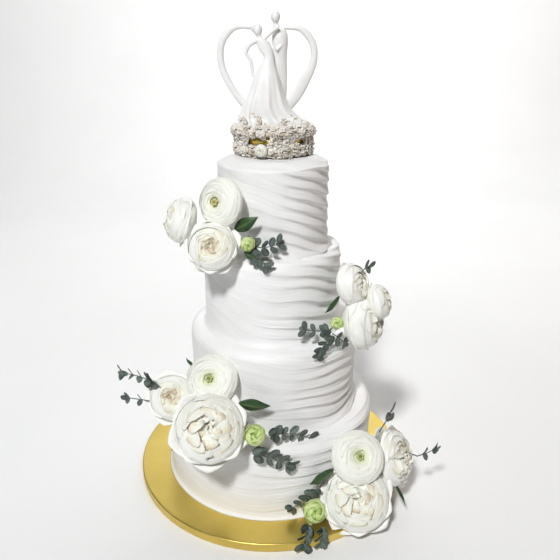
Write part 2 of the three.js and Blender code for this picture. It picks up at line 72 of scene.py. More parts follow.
# Flower heads: kind, radius, place of the widest ring (azimuth, distance, z), the way the
# face looks (azimuth, elevation), and how far the petals are turned round it.
FLOWERS = [
    ("top_ranunculus", "ranunculus", 31, (-128, 100, 439), (-122, 14), 0),
    ("top_rose", "cup", 32, (-126.5, 122, 388), (-94, 24), 20),
    ("top_rose_side", "goblet", 29.5, (-149.5, 130, 412), (-166, 16), 0),
    ("right_rose_upper", "goblet", 28, (-34, 130, 326), (-32, 22), 30),
    ("right_rose_lower", "goblet", 37, (-33, 146, 275), (-24, 14), 10),
    ("right_rose_back", "goblet", 24, (-29, 163, 304), (-10, 18), 0),
    ("left_garden_rose", "garden", 46, (-115, 184, 168), (-82, 42), 50),
    ("left_ranunculus", "ranunculus", 35, (-123, 142, 210), (-104, 38), 0),
    ("left_ranunculus_pale", "cup", 32, (-139, 175, 181), (-78, 38), 25),
    ("low_garden_rose", "garden", 45, (-54, 199, 48), (-95, 38), 98),
    ("low_ranunculus", "ranunculus", 36, (-51, 186, 104), (-84, 42), 0),
    ("low_rose_side", "garden", 41, (-32.5, 204, 76), (-36, 26), 20),
]

BUDS = [
    ("top_bud", 9, (-105, 108, 393), (-78, -8)),
    ("right_bud", 8.5, (-49, 132, 283), (-85, 20)),
    ("left_bud", 14, (-97, 168, 157), (-84, 44)),
    ("low_bud", 16, (-71, 180, 36), (-88, 36)),
]

# Leaves: base and tip (azimuth, distance, z), and width.
LEAVES = [
    ("top_leaf", (-119, 94, 404), (-99, 92, 424), 17),
    ("top_leaf_low", (-108, 106, 382), (-97, 104, 372), 13),
    ("top_leaf_back", (-150.4, 134, 396), (-153, 141, 386), 6),
    ("right_leaf", (-37, 116, 309), (-48, 108, 288), 12),
    ("left_leaf", (-106, 152, 192), (-90, 140, 183), 18),
    ("left_leaf_tip", (-135, 142, 216), (-139, 150, 232), 9),
    ("left_leaf_low", (-134.7, 182, 125), (-138, 184, 100), 9),
    ("low_leaf", (-61, 174, 90), (-72, 166, 70), 19),
    ("low_leaf_right", (-36, 212, 46), (-39.5, 240, 29), 14),
]

# Eucalyptus: three places along the stem, leaf pairs and leaf length.
SPRIGS = [
    ("top_sprig", ((-105, 104, 389), (-93, 96, 386), (-79, 88, 390)), 4, 13),
    ("top_sprig_low", ((-103, 106, 379), (-97, 105, 372), (-90, 104, 361)), 3, 11),
    ("right_sprig", ((-51, 126, 272), (-60, 116, 272), (-70, 111, 278)), 3, 12),
    ("right_sprig_low", ((-50, 128, 264), (-57, 128, 254), (-62, 129, 239)), 4, 12),
    ("right_sprig_mid", ((-48.3, 124, 264), (-41.8, 127, 251), (-34, 128, 235)), 2, 12),
    ("right_sprig_top", ((-33.4, 142, 346), (-31, 145, 350), (-25, 152, 354)), 1, 15),
    ("left_sprig", ((-91, 158, 150), (-80, 146, 142), (-64, 140, 120)), 5, 14),
    ("left_sprig_low", ((-98, 172, 131), (-89, 166, 120), (-79, 164, 100)), 4, 16),
    ("left_sprig_out", ((-139.9, 196, 210), (-144.9, 212, 218), (-148.8, 232, 223)), 4, 14),
    ("left_twig_out", ((-142.8, 202, 180), (-146.3, 216, 182), (-149.4, 232, 184)), 2, 11),
    ("low_sprig", ((-69, 172, 66), (-74, 166, 47), (-82, 163, 28)), 4, 12),
    ("low_sprig_down", ((-75, 192, 26), (-77, 202, 20), (-79, 214, 8)), 3, 14),
    ("low_sprig_edge", ((-70, 196, 22), (-71, 206, 18), (-72.5, 214, 7)), 3, 13),
    ("low_sprig_out", ((-30, 236, 84), (-27, 248, 86), (-24, 262, 92)), 2, 14),
    ("low_sprig_top", ((-38, 196, 140), (-36, 200, 152), (-38, 204, 165)), 2, 16),
]
STEM_RADIUS = 1.1
# Where the stems that stand clear of the icing run back into the flower that carries them.
ROOTS = {
    "right_leaf": (-34.1, 125, 324), "left_leaf_low": (-122.6, 198, 164),
    "right_sprig": (-49, 131, 281), "right_sprig_top": (-34.2, 120, 322),
    "left_sprig_out": (-142.7, 169, 171), "left_twig_out": (-142, 170, 173),
    "low_sprig_out": (-26.8, 206, 78), "low_sprig_top": (-28.7, 175, 95),
}

TOPPER = {"x": 4.6, "y": 14, "radius": 46, "height": 34}
BAND = {"bottom": 16, "top": 25, "thickness": 0.8}
HEART_DEPTH = 12


# ---- Small tools ----


def round_axis(reach, turn, z):
    """Points at a reach and a turn (in radians) round the upright axis."""
    return np.stack([reach * np.cos(turn), reach * np.sin(turn), z + 0 * turn], -1)


def polar(azimuth, distance, z):
    return round_axis(distance, math.radians(azimuth), z)


def direction(azimuth, elevation):
    tilt = math.radians(elevation)
    return polar(azimuth, math.cos(tilt), math.sin(tilt))


def unit(vector):
    vector = np.asarray(vector, float)
    return vector / np.linalg.norm(vector, axis=-1, keepdims=True)


def draw(a, b):
    """A repeatable draw from 0 to 1 for the item with numbers a and b."""
    value = math.sin(a * 12.9898 + b * 78.233) * 43758.5453
    return value - math.floor(value)


def smooth(x):
    x = np.clip(x, 0, 1)
    return x * x * (3 - 2 * x)


def bell(x):
    return np.exp(-(x**2))


def wrapped(angle):
    """Angles brought to within half a turn of zero."""
    return (angle + math.pi) % TAU - math.pi


def turns_round(sides):
    return np.arange(sides) * TAU / sides


def table_of(first, second):
    return np.meshgrid(first, second, indexing="ij")


def lattice_noise(x, y, z, period, seed):
    """Smooth noise from -1 to 1 over a lattice that repeats in x after period cells."""
    depth = 16
    table = np.random.default_rng(seed).uniform(-1, 1, (period, depth, depth))
    cells = [np.floor(axis).astype(int) for axis in (x, y, z)]
    parts = [smooth(axis - cell) for axis, cell in zip((x, y, z), cells)]
    total = 0
    for steps in np.ndindex(2, 2, 2):
        weight = 1
        for part, step in zip(parts, steps):
            weight = weight * (part if step else 1 - part)
        i, j, k = (cell + step for cell, step in zip(cells, steps))
        total = total + weight * table[i % period, j % depth, k % depth]
    return total


def rim_noise(angle, period, seed):
    """Noise round a rim, with that many lumps to a whole turn."""
    return lattice_noise(angle / TAU * period, 0 * angle, 0 * angle, period, seed)


def curve_point(points, t):
    """A point on the centripetal Catmull-Rom curve through the points."""
    points = np.asarray(points, float)
    last = len(points) - 1
    whole = min(int(last * t), last - 1)
    part = last * t - whole
    extended = [2 * points[0] - points[1], *points, 2 * points[-1] - points[-2]]
    before, start, end, after = extended[whole : whole + 4]
    step0, step1, step2 = (
        max(math.sqrt(np.linalg.norm(b - a)), 1e-4)
        for a, b in ((before, start), (start, end), (end, after))
    )
    slope0 = (start - before) / step0 - (end - before) / (step0 + step1) + (end - start) / step1
    slope1 = (end - start) / step1 - (after - start) / (step1 + step2) + (after - end) / step2
    slope0, slope1 = slope0 * step1, slope1 * step1
    square = -3 * start + 3 * end - 2 * slope0 - slope1
    cube = 2 * start - 2 * end + slope0 + slope1
    return start + slope0 * part + square * part**2 + cube * part**3


def curve_tangent(points, t):
    low, high = max(t - 1e-4, 0), min(t + 1e-4, 1)
    return unit(curve_point(points, high) - curve_point(points, low))


def axes_along(forward):
    """Rows: the across, upward and forward axes of a thing that looks along forward."""
    forward = unit(forward)
    across = unit(np.cross(UP, forward))
    return np.array([across, np.cross(forward, across), forward])


def grid_faces(rows, cols, wrap):
    r, c = table_of(np.arange(rows - 1), np.arange(cols if wrap else cols - 1))
    following = (c + 1) % cols
    corners = [r * cols + c, r * cols + following, (r + 1) * cols + following, (r + 1) * cols + c]
    return np.stack(corners, -1).reshape(-1, 4)


class Shape:
    """Gathers one piece: points in mm, faces, and per point a heart value and a surface map. The
    heart value picks colours, and in places it carries painted shade.
    """

    def __init__(self, offset=0.0):
        self.points, self.faces, self.hearts, self.maps = [], [], [], []
        self.count, self.offset = 0, offset

    def add(self, points, faces, heart=0.0, surface=None):
        points = np.asarray(points, float).reshape(-1, 3)
        if surface is None:
            surface = np.zeros((len(points), 2))
        self.points.append(points + self.offset)
        self.faces.extend(tuple(int(i) + self.count for i in face) for face in faces)
        self.hearts.append(np.broadcast_to(np.asarray(heart, float).reshape(-1), len(points)))
        self.maps.append(np.asarray(surface, float).reshape(-1, 2))
        self.count += len(points)

    def piece(self, name, kind, node):
        mesh = bpy.data.meshes.new(name)
        mesh.from_pydata((np.concatenate(self.points) * MM).tolist(), [], self.faces)
        heart = mesh.attributes.new("heart", "FLOAT", "POINT")
        heart.data.foreach_set("value", np.concatenate(self.hearts).astype(np.float32))
        layer = mesh.uv_layers.new(name="surface")
        loops = np.empty(len(mesh.loops), np.int32)
        mesh.loops.foreach_get("vertex_index", loops)
        maps = np.concatenate(self.maps)[loops]
        layer.data.foreach_set("uv", maps.astype(np.float32).ravel())
        work = bmesh.new()
        work.from_mesh(mesh)
        bmesh.ops.recalc_face_normals(work, faces=work.faces)
        work.to_mesh(mesh)
        work.free()
        mesh.polygons.foreach_set("use_smooth", np.ones(len(mesh.polygons), bool))
        mesh.materials.append(MATERIALS[kind])
        thing = placed(name, mesh)
        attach(thing, "root")
        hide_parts(node)
        return thing


def add_sheet(shape, points, thickness, heart=0.0, surface=None):
    """A thin closed sheet from a grid of points, thinned towards its edges."""
    rows, cols = points.shape[:2]
    normal = np.cross(np.gradient(points, axis=0), np.gradient(points, axis=1))
    normal /= np.maximum(np.linalg.norm(normal, axis=-1, keepdims=True), 1e-9)
    r, c = table_of(np.linspace(0, 1, rows), np.linspace(0, 1, cols))
    edge = np.minimum.reduce([1 - r, c, 1 - c]) * 4
    half = normal * (0.5 * thickness * (0.3 + 0.7 * smooth(edge))[..., None])
    faces = grid_faces(rows, cols, False)
    amount = rows * cols
    index = np.arange(amount).reshape(rows, cols)
    rim = np.concatenate([index[0], index[1:, -1], index[-1, -2::-1], index[-2:0:-1, 0]])
    following = np.roll(rim, -1)
    side = np.stack([following, rim, rim + amount, following + amount], -1)
    hearts = np.broadcast_to(np.asarray(heart, float), (rows, cols))
    if surface is None:
        surface = np.stack([c, r], -1)
    every = [*faces, *(faces[:, ::-1] + amount), *side]
    shape.add([points + half, points - half], every, [hearts, hearts], [surface, surface])


def add_rings(shape, rings, heart=0.0, surface=None):
    """A closed skin over rings of points; both ends are closed to their middles."""
    rings = np.asarray(rings, float)
    rows, cols = rings.shape[:2]
    first, last, top = rows * cols, rows * cols + 1, (rows - 1) * cols
    faces = [*grid_faces(rows, cols, True)]
    faces += [(first, (c + 1) % cols, c) for c in range(cols)]
    faces += [(last, top + c, top + (c + 1) % cols) for c in range(cols)]
    points = np.concatenate([rings.reshape(-1, 3), rings[:1].mean(1), rings[-1:].mean(1)])
    if surface is not None:
        surface = np.concatenate([surface.reshape(-1, 2), surface[0, :1], surface[-1, :1]])
    shape.add(points, faces, heart, surface)


def add_hoop(shape, sections, heart=0.0):
    """A closed hoop over sections of points that follow each other round."""
    turns, around = sections.shape[:2]
    i, j = (grid.ravel() for grid in table_of(np.arange(turns), np.arange(around)))
    here, ahead, beside = i * around, (i + 1) % turns * around, (j + 1) % around
    shape.add(sections, zip(here + j, ahead + j, ahead + beside, here + beside), heart)


def add_tube(shape, points, size_at, steps, sides, wide_axis, heart=0.0):
    """A tube along a curve, whose section is an ellipse with the half sizes (wide, deep)."""
    angles = turns_round(sides)
    rings = []
    for t in (k / steps for k in range(steps + 1)):
        tangent = curve_tangent(points, t)
        deep = unit(np.cross(tangent, wide_axis))
        wide = np.cross(deep, tangent)
        half_wide, half_deep = size_at(t)
        ring = curve_point(points, t) + np.outer(np.cos(angles) * half_wide, wide)
        rings.append(ring + np.outer(np.sin(angles) * half_deep, deep))
    add_rings(shape, rings, heart)


def add_ball(shape, centre, radii, axes=np.eye(3), sides=10, heart=0.0):
    """An egg-shaped ball with its own axes (rows: across, upward, forward)."""
    rows = max(sides // 2, 3)
    p, a = table_of(np.linspace(0, math.pi, rows + 1)[1:-1], turns_round(sides))
    local = np.stack([np.sin(p) * np.cos(a), np.sin(p) * np.sin(a), -np.cos(p)], -1)
    add_rings(shape, centre + (local * np.asarray(radii)) @ axes, heart)


# ---- Materials ----


class Nodes:
    """A material and short ways to add and join its nodes."""

    def __init__(self, name, **inputs):
        self.material = bpy.data.materials.new(name)
        self.material.use_nodes = True
        self.tree = self.material.node_tree
        self.shader = self.tree.nodes["Principled BSDF"]
        self.shade(inputs)

    def feed(self, node, inputs):
        """Sets a node's inputs to constants, or joins them to other nodes' outputs."""
        for key, value in inputs.items():
            if isinstance(value, bpy.types.NodeSocket):
                self.tree.links.new(value, node.inputs[key])
            else:
                node.inputs[key].default_value = value
        return node

    def shade(self, inputs):
        self.feed(self.shader, inputs)

    def add(self, kind, inputs, **values):
        node = self.tree.nodes.new(kind)
        for key, value in values.items():
            setattr(node, key, value)
        return self.feed(node, inputs)

    def place(self):
        return self.add("ShaderNodeTexCoord", {}).outputs["Object"]

    def noise(self, place, scale, detail):
        inputs = {"Vector": place, "Scale": scale, "Detail": detail}
        return self.add("ShaderNodeTexNoise", inputs).outputs["Fac"]

    def object_noise(self, scale, detail):
        return self.noise(self.place(), scale, detail)

    def map_noise(self, scale_u, scale_v, detail):
        """Noise over the piece's own surface map, stretched along it."""
        flat = self.add("ShaderNodeUVMap", {}, uv_map="surface").outputs["UV"]
        mapping = self.add("ShaderNodeMapping", {"Vector": flat, "Scale": (scale_u, scale_v, 1)})
        return self.noise(mapping.outputs["Vector"], 1, detail)

    def heart(self):
        return self.add("ShaderNodeAttribute", {}, attribute_name="heart").outputs["Fac"]

    def ramp(self, factor, stops):
        node = self.add("ShaderNodeValToRGB", {"Fac": factor})
        elements = node.color_ramp.elements
        while len(elements) < len(stops):
            elements.new(0.5)
        for element, (place, colour) in zip(elements, stops):
            element.position = place
            element.color = (*colour, 1)
        return node.outputs["Color"]

    def patchy(self, noise, low, high):
        """Noise between two colours, over the middle of its range."""
        return self.ramp(noise, [(0.3, low), (0.7, high)])

    def mix(self, factor, low, high, blend="MIX"):
        inputs = {0: factor, 6: low, 7: high}
        return self.add("ShaderNodeMix", inputs, data_type="RGBA", blend_type=blend).outputs[2]

    def colour(self, output):
        self.shade({"Base Color": output})

    def bump(self, heights, distance):
        """Bump from a list of (height output, strength)."""
        inputs = {"Distance": distance}
        for height, strength in heights:
            inputs.update({"Height": height, "Strength": strength})
            inputs["Normal"] = self.add("ShaderNodeBump", inputs).outputs["Normal"]
        self.shade({"Normal": inputs["Normal"]})

    def roughness(self, factor, low, high):
        node = self.add("ShaderNodeMapRange", {"Value": factor, "To Min": low, "To Max": high})
        self.shade({"Roughness": node.outputs["Result"]})

    def depth_light(self, weight, scale, radius):
        self.shade({"Subsurface Weight": weight, "Subsurface Scale": scale})
        self.shade({"Subsurface Radius": radius})


def buttercream_material():
    nodes = Nodes("buttercream", Roughness=0.5)
    nodes.colour(nodes.patchy(nodes.object_noise(18, 2), (0.815, 0.81, 0.80), (0.87, 0.87, 0.87)))
    streaks = nodes.map_noise(7, 130, 4)
    drags = nodes.map_noise(2.2, 36, 3)
    grain = nodes.object_noise(700, 4)
    pits = nodes.add("ShaderNodeTexVoronoi", {"Scale": 95, "Vector": nodes.place()})
    holes = nodes.ramp(pits.outputs["Distance"], [(0.0, (0, 0, 0)), (0.09, (1, 1, 1))])
    nodes.bump([(drags, 0.5), (streaks, 0.45), (grain, 0.16), (holes, 0.4)], 0.0006)
    nodes.roughness(streaks, 0.42, 0.62)
    nodes.depth_light(0.08, 0.003, (1, 0.85, 0.7))
    return nodes.material


def foil_material():
    nodes = Nodes("gold_foil", Roughness=0.34, Metallic=1.0)
    patches = nodes.object_noise(14, 3)
    nodes.colour(nodes.patchy(patches, (0.66, 0.50, 0.125), (0.78, 0.60, 0.17)))
    nodes.bump([(nodes.object_noise(55, 5), 0.16), (nodes.object_noise(420, 3), 0.08)], 0.0008)
    nodes.roughness(patches, 0.30, 0.42)
    return nodes.material


def petal_material(kind):
    nodes = Nodes(kind + "_petal", Roughness=0.55)
    veins = nodes.map_noise(26, 2.2, 4)
    shade = nodes.patchy(veins, (0.95, 0.95, 0.91), (1, 1, 1))
    nodes.colour(nodes.mix(0.6, nodes.ramp(nodes.heart(), STOPS[kind]), shade, "MULTIPLY"))
    nodes.bump([(veins, 0.16)], 0.0004)
    nodes.depth_light(0.12, 0.002, (1, 0.95, 0.75))
    nodes.shade({"Sheen Weight": 0.1})
    return nodes.material


def leaf_material(name, dark, light, rib, roughness):
    nodes = Nodes(name, Roughness=roughness)
    patches = nodes.object_noise(160, 3)
    nodes.colour(nodes.mix(nodes.heart(), nodes.patchy(patches, dark, light), (*rib, 1)))
    nodes.bump([(nodes.map_noise(5, 34, 3), 0.3), (patches, 0.15)], 0.0004)
    nodes.depth_light(0.06, 0.002, (0.6, 1, 0.3))
    return nodes.material


def porcelain_material():
    nodes = Nodes("porcelain", Roughness=0.42)
    patches = nodes.object_noise(60, 3)
    nodes.colour(nodes.patchy(patches, (0.80, 0.79, 0.775), (0.85, 0.85, 0.845)))
    nodes.bump([(nodes.object_noise(500, 3), 0.05)], 0.0004)
    nodes.depth_light(0.1, 0.003, (1, 0.9, 0.8))
    return nodes.material


def floret_material():
    nodes = Nodes("floret", Roughness=0.6)
    patches = nodes.object_noise(300, 3)
    shade = nodes.patchy(patches, (0.94, 0.92, 0.89), (1, 1, 1))
    nodes.colour(nodes.mix(1.0, nodes.ramp(nodes.heart(), STOPS["floret"]), shade, "MULTIPLY"))
    nodes.bump([(patches, 0.2)], 0.0004)
    return nodes.material


# Colours by heart value: from a petal's rim, through its folds, to the flower's eye. The darker warm
# ends also serve as painted shade: on petal bases down in the hollows, and in a garland's core
# between its blossoms.
STOPS = {
    "ranunculus": (
        (0.0, (0.91, 0.91, 0.85)), (0.3, (0.89, 0.90, 0.74)),
        (0.65, (0.68, 0.74, 0.36)), (1.0, (0.14, 0.20, 0.035)),
    ),
    "golden": (
        (0.0, (0.91, 0.91, 0.85)), (0.3, (0.90, 0.90, 0.76)),
        (0.65, (0.74, 0.74, 0.38)), (1.0, (0.30, 0.22, 0.02)),
    ),
    "rose": (
        (0.0, (0.91, 0.91, 0.875)), (0.3, (0.895, 0.895, 0.77)),
        (0.65, (0.78, 0.70, 0.54)), (1.0, (0.50, 0.38, 0.25)),
    ),
    "bud": ((0.0, (0.74, 0.82, 0.44)), (0.4, (0.50, 0.66, 0.18)), (1.0, (0.10, 0.20, 0.03))),
    "floret": (
        (0.0, (0.87, 0.85, 0.81)), (0.35, (0.80, 0.74, 0.65)),
        (0.7, (0.50, 0.42, 0.31)), (1.0, (0.26, 0.21, 0.14)),
    ),
}
MATERIALS = {
    "buttercream": buttercream_material(),
    "gold_foil": foil_material(),
    **{kind: petal_material(kind) for kind in ("ranunculus", "golden", "rose", "bud")},
    "leaf": leaf_material(
        "leaf_green", (0.016, 0.045, 0.014), (0.035, 0.085, 0.025), (0.12, 0.2, 0.06), 0.42
    ),
    "eucalyptus": leaf_material(
        "eucalyptus", (0.026, 0.040, 0.034), (0.085, 0.115, 0.10), (0.16, 0.20, 0.17), 0.5
    ),
    "porcelain": porcelain_material(),
    "floret": floret_material(),
}


# ---- Camera, light and floor (metres) ----

CAMERA = {"place": (2, -799, 620), "pitch": 21.56, "yaw": 0.83, "roll": 0.136, "lens": 38.12}
STAGE = {"front": -4.0, "back": 1.6, "bend": 0.9, "wall": 2.6, "half_width": 5.0, "drop": 0.0003}
WORLD = {"Color": (1, 0.93, 0.84, 1), "Strength": 0.03}
# Area lights: name, place, target, width, power in watts, colour.
LIGHTS = [
    ("window", (-0.90, -2.60, 3.3), (0, 0, 0.3), 0.5, 157, (0.985, 0.995, 1)),
    ("room", (2.6, -0.2, 0.9), (0, 0, 0.3), 1.6, 3.8, (1, 0.55, 0.26)),
    ("backdrop", (0.5, 1.0, 2.4), (0.3, 2.6, 1.3), 2.2, 50, (1, 1, 1)),
]


def placed(name, data):
    thing = bpy.data.objects.new(name, data)
    bpy.context.collection.objects.link(thing)
    return thing


def make_camera():
    data = bpy.data.cameras.new("camera")
    data.sensor_width = 36
    data.lens = CAMERA["lens"]
    data.clip_start, data.clip_end = 0.05, 50
    camera = placed("camera", data)
    pitch, yaw, roll = (math.radians(CAMERA[key]) for key in ("pitch", "yaw", "roll"))
    turn = Matrix.Rotation(-yaw, 4, "Z") @ Matrix.Rotation(math.pi / 2 - pitch, 4, "X")
    place = Matrix.Translation(Vector(CAMERA["place"]) * MM)
    camera.matrix_world = place @ turn @ Matrix.Rotation(roll, 4, "Z")
    bpy.context.scene.camera = camera


def make_stage():
    """A pale floor that curves up into a backdrop behind the cake."""
    back, bend = STAGE["back"], STAGE["bend"]
    profile = [(STAGE["front"], 0), (back, 0)]
    steps = 12
    for k in range(1, steps + 1):
        angle = k * math.pi / 2 / steps
        profile.append((back + bend * math.sin(angle), bend * (1 - math.cos(angle))))
    profile.append((back + bend, bend + STAGE["wall"]))
    half = STAGE["half_width"]
    points = [(side * half, y, z - STAGE["drop"]) for y, z in profile for side in (-1, 1)]
    faces = [(2 * k, 2 * k + 1, 2 * k + 3, 2 * k + 2) for k in range(len(profile) - 1)]
    mesh = bpy.data.meshes.new("floor")
    mesh.from_pydata(points, [], faces)
    mesh.polygons.foreach_set("use_smooth", np.ones(len(faces), bool))
    nodes = Nodes("floor", Roughness=0.8)
    nodes.colour(nodes.patchy(nodes.object_noise(3, 2), (0.81, 0.81, 0.81), (0.83, 0.83, 0.83)))
    mesh.materials.append(nodes.material)
    floor = placed("floor", mesh)


def make_lights():
    world = bpy.data.worlds.new("studio")
    world.use_nodes = True
    for key, value in WORLD.items():
        world.node_tree.nodes["Background"].inputs[key].default_value = value
    scene = bpy.context.scene
    scene.world = world
    scene.view_settings.view_transform = "Standard"
    scene.view_settings.look = "None"
    for name, place, target, width, power, colour in LIGHTS:
        data = bpy.data.lights.new(name, "AREA")
        data.shape = "DISK"
        data.size, data.energy, data.color = width, power, colour
        light = placed(name, data)
        light.location = place
        light.rotation_mode = "QUATERNION"
        light.rotation_quaternion = (Vector(target) - Vector(place)).to_track_quat("-Z", "Y")


# ---- Drum and tiers ----

PLEATS = 74
# Where the strokes are deepest, and where at the back they rise a little again (azimuth).
DEEP_SIDE = -40
BACK_SIDE = 140
# The broad sweep across the lower tier: azimuth, rise in strokes, half height and half breadth.
SWEEP = {"tier": "tier_lower", "azimuth": 350, "rise": -1.2, "height": 34, "breadth": 0.6}


def make_drum():
    """The foil-wrapped board: a soft-edged disc whose side is pleated where the foil is folded."""
    radius, thickness, bevel = DRUM["radius"], DRUM["thickness"], DRUM["bevel"]
    angle = turns_round(DRUM["sides"])
    lap = angle / TAU * PLEATS + 0.6 * rim_noise(angle, 40, 3)
    pleat = (lap - np.floor(lap)) ** 2
    dents = rim_noise(angle, 120, 4)
    strong = smooth(0.5 + 1.2 * rim_noise(angle, 18, 5))
    fold = 0.25 + (0.9 * pleat + 0.35 * (1 + dents)) * (0.3 + 0.7 * strong)
    profile = [(radius - 3, 0), (radius - bevel, 0.0), (radius, bevel)]
    profile += [(radius, thickness * part) for part in (0.2, 0.35, 0.5, 0.65, 0.8)]
    profile += [(radius, thickness - bevel), (radius - 0.3, thickness - 0.3)]
    profile += [(radius - bevel, thickness), (radius - 3, thickness), (radius - 12, thickness)]
    profile += [(radius * part, thickness) for part in (0.8, 0.6, 0.4, 0.2)]
    rings = []
    for out, z in profile:
        depth = math.sin(math.pi * min(z / thickness, 1)) if 0 < z < thickness else 0
        height = z + (0.12 * dents if radius - 4 < out < radius and z == thickness else 0)
        rings.append(round_axis(out - depth * fold, angle, height))
    shape = Shape()
    add_rings(shape, rings)
    shape.piece("foil_drum", "gold_foil", "cake_drum")


def stroke_inset(tier, angle, s):
    """Depth of the spatula strokes: scoops under sharp crests, with fine streaks in them."""
    starts, relief, seed = tier["starts"], tier["relief"], int(tier["radius"])
    east, north = np.cos(angle), np.sin(angle)

    def worn(along, scale, period, item):
        """Noise along the strokes that changes slowly round the tier."""
        return lattice_noise(along, scale * east + 5, scale * north + 5, period, seed + item)

    bend = 0.16 * np.sin(2 * angle + s / 37 + seed) + 0.1 * np.sin(5 * angle - s / 24)
    sweep = 0.0
    if tier["name"] == SWEEP["tier"]:
        away = wrapped(angle - math.radians(SWEEP["azimuth"]))
        sweep = SWEEP["rise"] * bell(s / SWEEP["height"]) * bell(away / SWEEP["breadth"])
    drift = 0.32 * lattice_noise(angle / TAU * 11, s / 38 + 3, 0 * s, 11, seed + 5)
    stroke = s / STROKE_PITCH + starts * angle / TAU + bend + sweep + drift
    line = np.floor(stroke)
    across = stroke - line
    uneven = worn(line + 0.5, 2, starts, 0)
    away = np.degrees(np.abs(wrapped(angle - math.radians(DEEP_SIDE)))) + 26 * uneven
    behind = np.degrees(wrapped(angle - math.radians(BACK_SIDE)))
    swell = 0.13 + 1.3 * (1 - smooth((away - 16) / 42)) + 0.30 * bell(behind / 50)
    hollow = np.sin(math.pi * across**1.9)
    cycle = starts * 6
    fine = worn(stroke * 6, 1.2, cycle, 1)
    finer = worn(stroke * 18, 2.2, 3 * cycle, 2)
    lumps = worn(stroke, 3, starts, 3)
    lip = 0.5 * bell(np.minimum(across, 1 - across) / 0.05) * swell
    depth = relief * swell * (0.78 + 0.44 * uneven) * hollow - lip + 0.35
    return depth + (0.12 + 0.36 * swell) * (1 + fine) + 0.16 * (1 + finer) + 0.3 * (1 + lumps)


def make_tier(tier, bottom, inner):
    """One tier: its side, its rounded shoulder and its top in as far as the tier above covers."""
    radius, height, shoulder = tier["radius"], tier["height"], tier["round"]
    wall = height - shoulder
    over = wall + shoulder * math.pi / 2
    flat = radius - shoulder
    length = over + flat - inner
    rows, cols = int(length / TIER_GRID[0]), int(TAU * radius / TIER_GRID[1])
    s, angle = table_of(np.linspace(0, length, rows), turns_round(cols))
    bend = np.clip((s - wall) / shoulder, 0, math.pi / 2)
    inset = stroke_inset(tier, angle, s) * (1 - 0.75 * smooth((s - over + 6) / 16))
    arm = shoulder - inset
    right = bell(wrapped(angle + math.radians(10)) / 0.9)
    # A skirt of buttercream spreads round its foot, broadest at the right, and sinks on to
    # what carries it.
    skirt = (5 + 3 * right) * np.exp(-s / (3.4 + 2 * right))
    out = flat + arm * np.cos(bend) - np.maximum(0, s - over) + skirt
    sink = 0.25 if tier["name"] == "tier_bottom" else 2.4
    z = np.minimum(s, wall) + arm * np.sin(bend) - sink * bell(s / 1.2)
    if tier["name"] == "tier_top":
        z = z + TOP_DOME["rise"] * smooth((flat - out) / (flat - TOP_DOME["radius"]))
    stroke = s / STROKE_PITCH + tier["starts"] * angle / TAU
    surface = np.stack([angle * radius / 100, stroke * STROKE_PITCH / 100], -1)
    shape = Shape((tier["x"], TIER_Y, bottom))
    add_rings(shape, round_axis(out, angle, z), 0.0, surface)
    shape.piece("buttercream_" + tier["name"], "buttercream", tier["name"])


def make_tiers():
    floor = DRUM["thickness"]
    for index, tier in enumerate(TIERS):
        above = TIERS[index + 1]["radius"] - COVERED if index + 1 < len(TIERS) else INNERMOST
        make_tier(tier, floor + GAP, above)
        floor += GAP + tier["height"]
    return floor


# ---- Flowers ----

LINE_STEPS = 25
# A ranunculus's layers inwards: how many petals, base and rim angle from the axis in degrees.
RANUNCULUS_LAYERS = (
    (5, 168, 74), (5, 168, 69), (5, 112, 63), (4, 112, 57), (4, 112, 51), (4, 112, 45),
    (4, 112, 39), (4, 112, 33), (4, 70, 28), (3, 70, 24), (3, 70, 20), (3, 70, 16), (3, 70, 13),
)
# Outer petals of an open rose: the middle line, base to rim, of two saucers of five.
SAUCERS = (
    ((0.06, -0.48), (0.66, -0.60), (0.80, -0.10), (1.17, -0.08)),
    ((0.06, -0.46), (0.62, -0.52), (0.72, 0.08), (1.06, 0.12)),
)
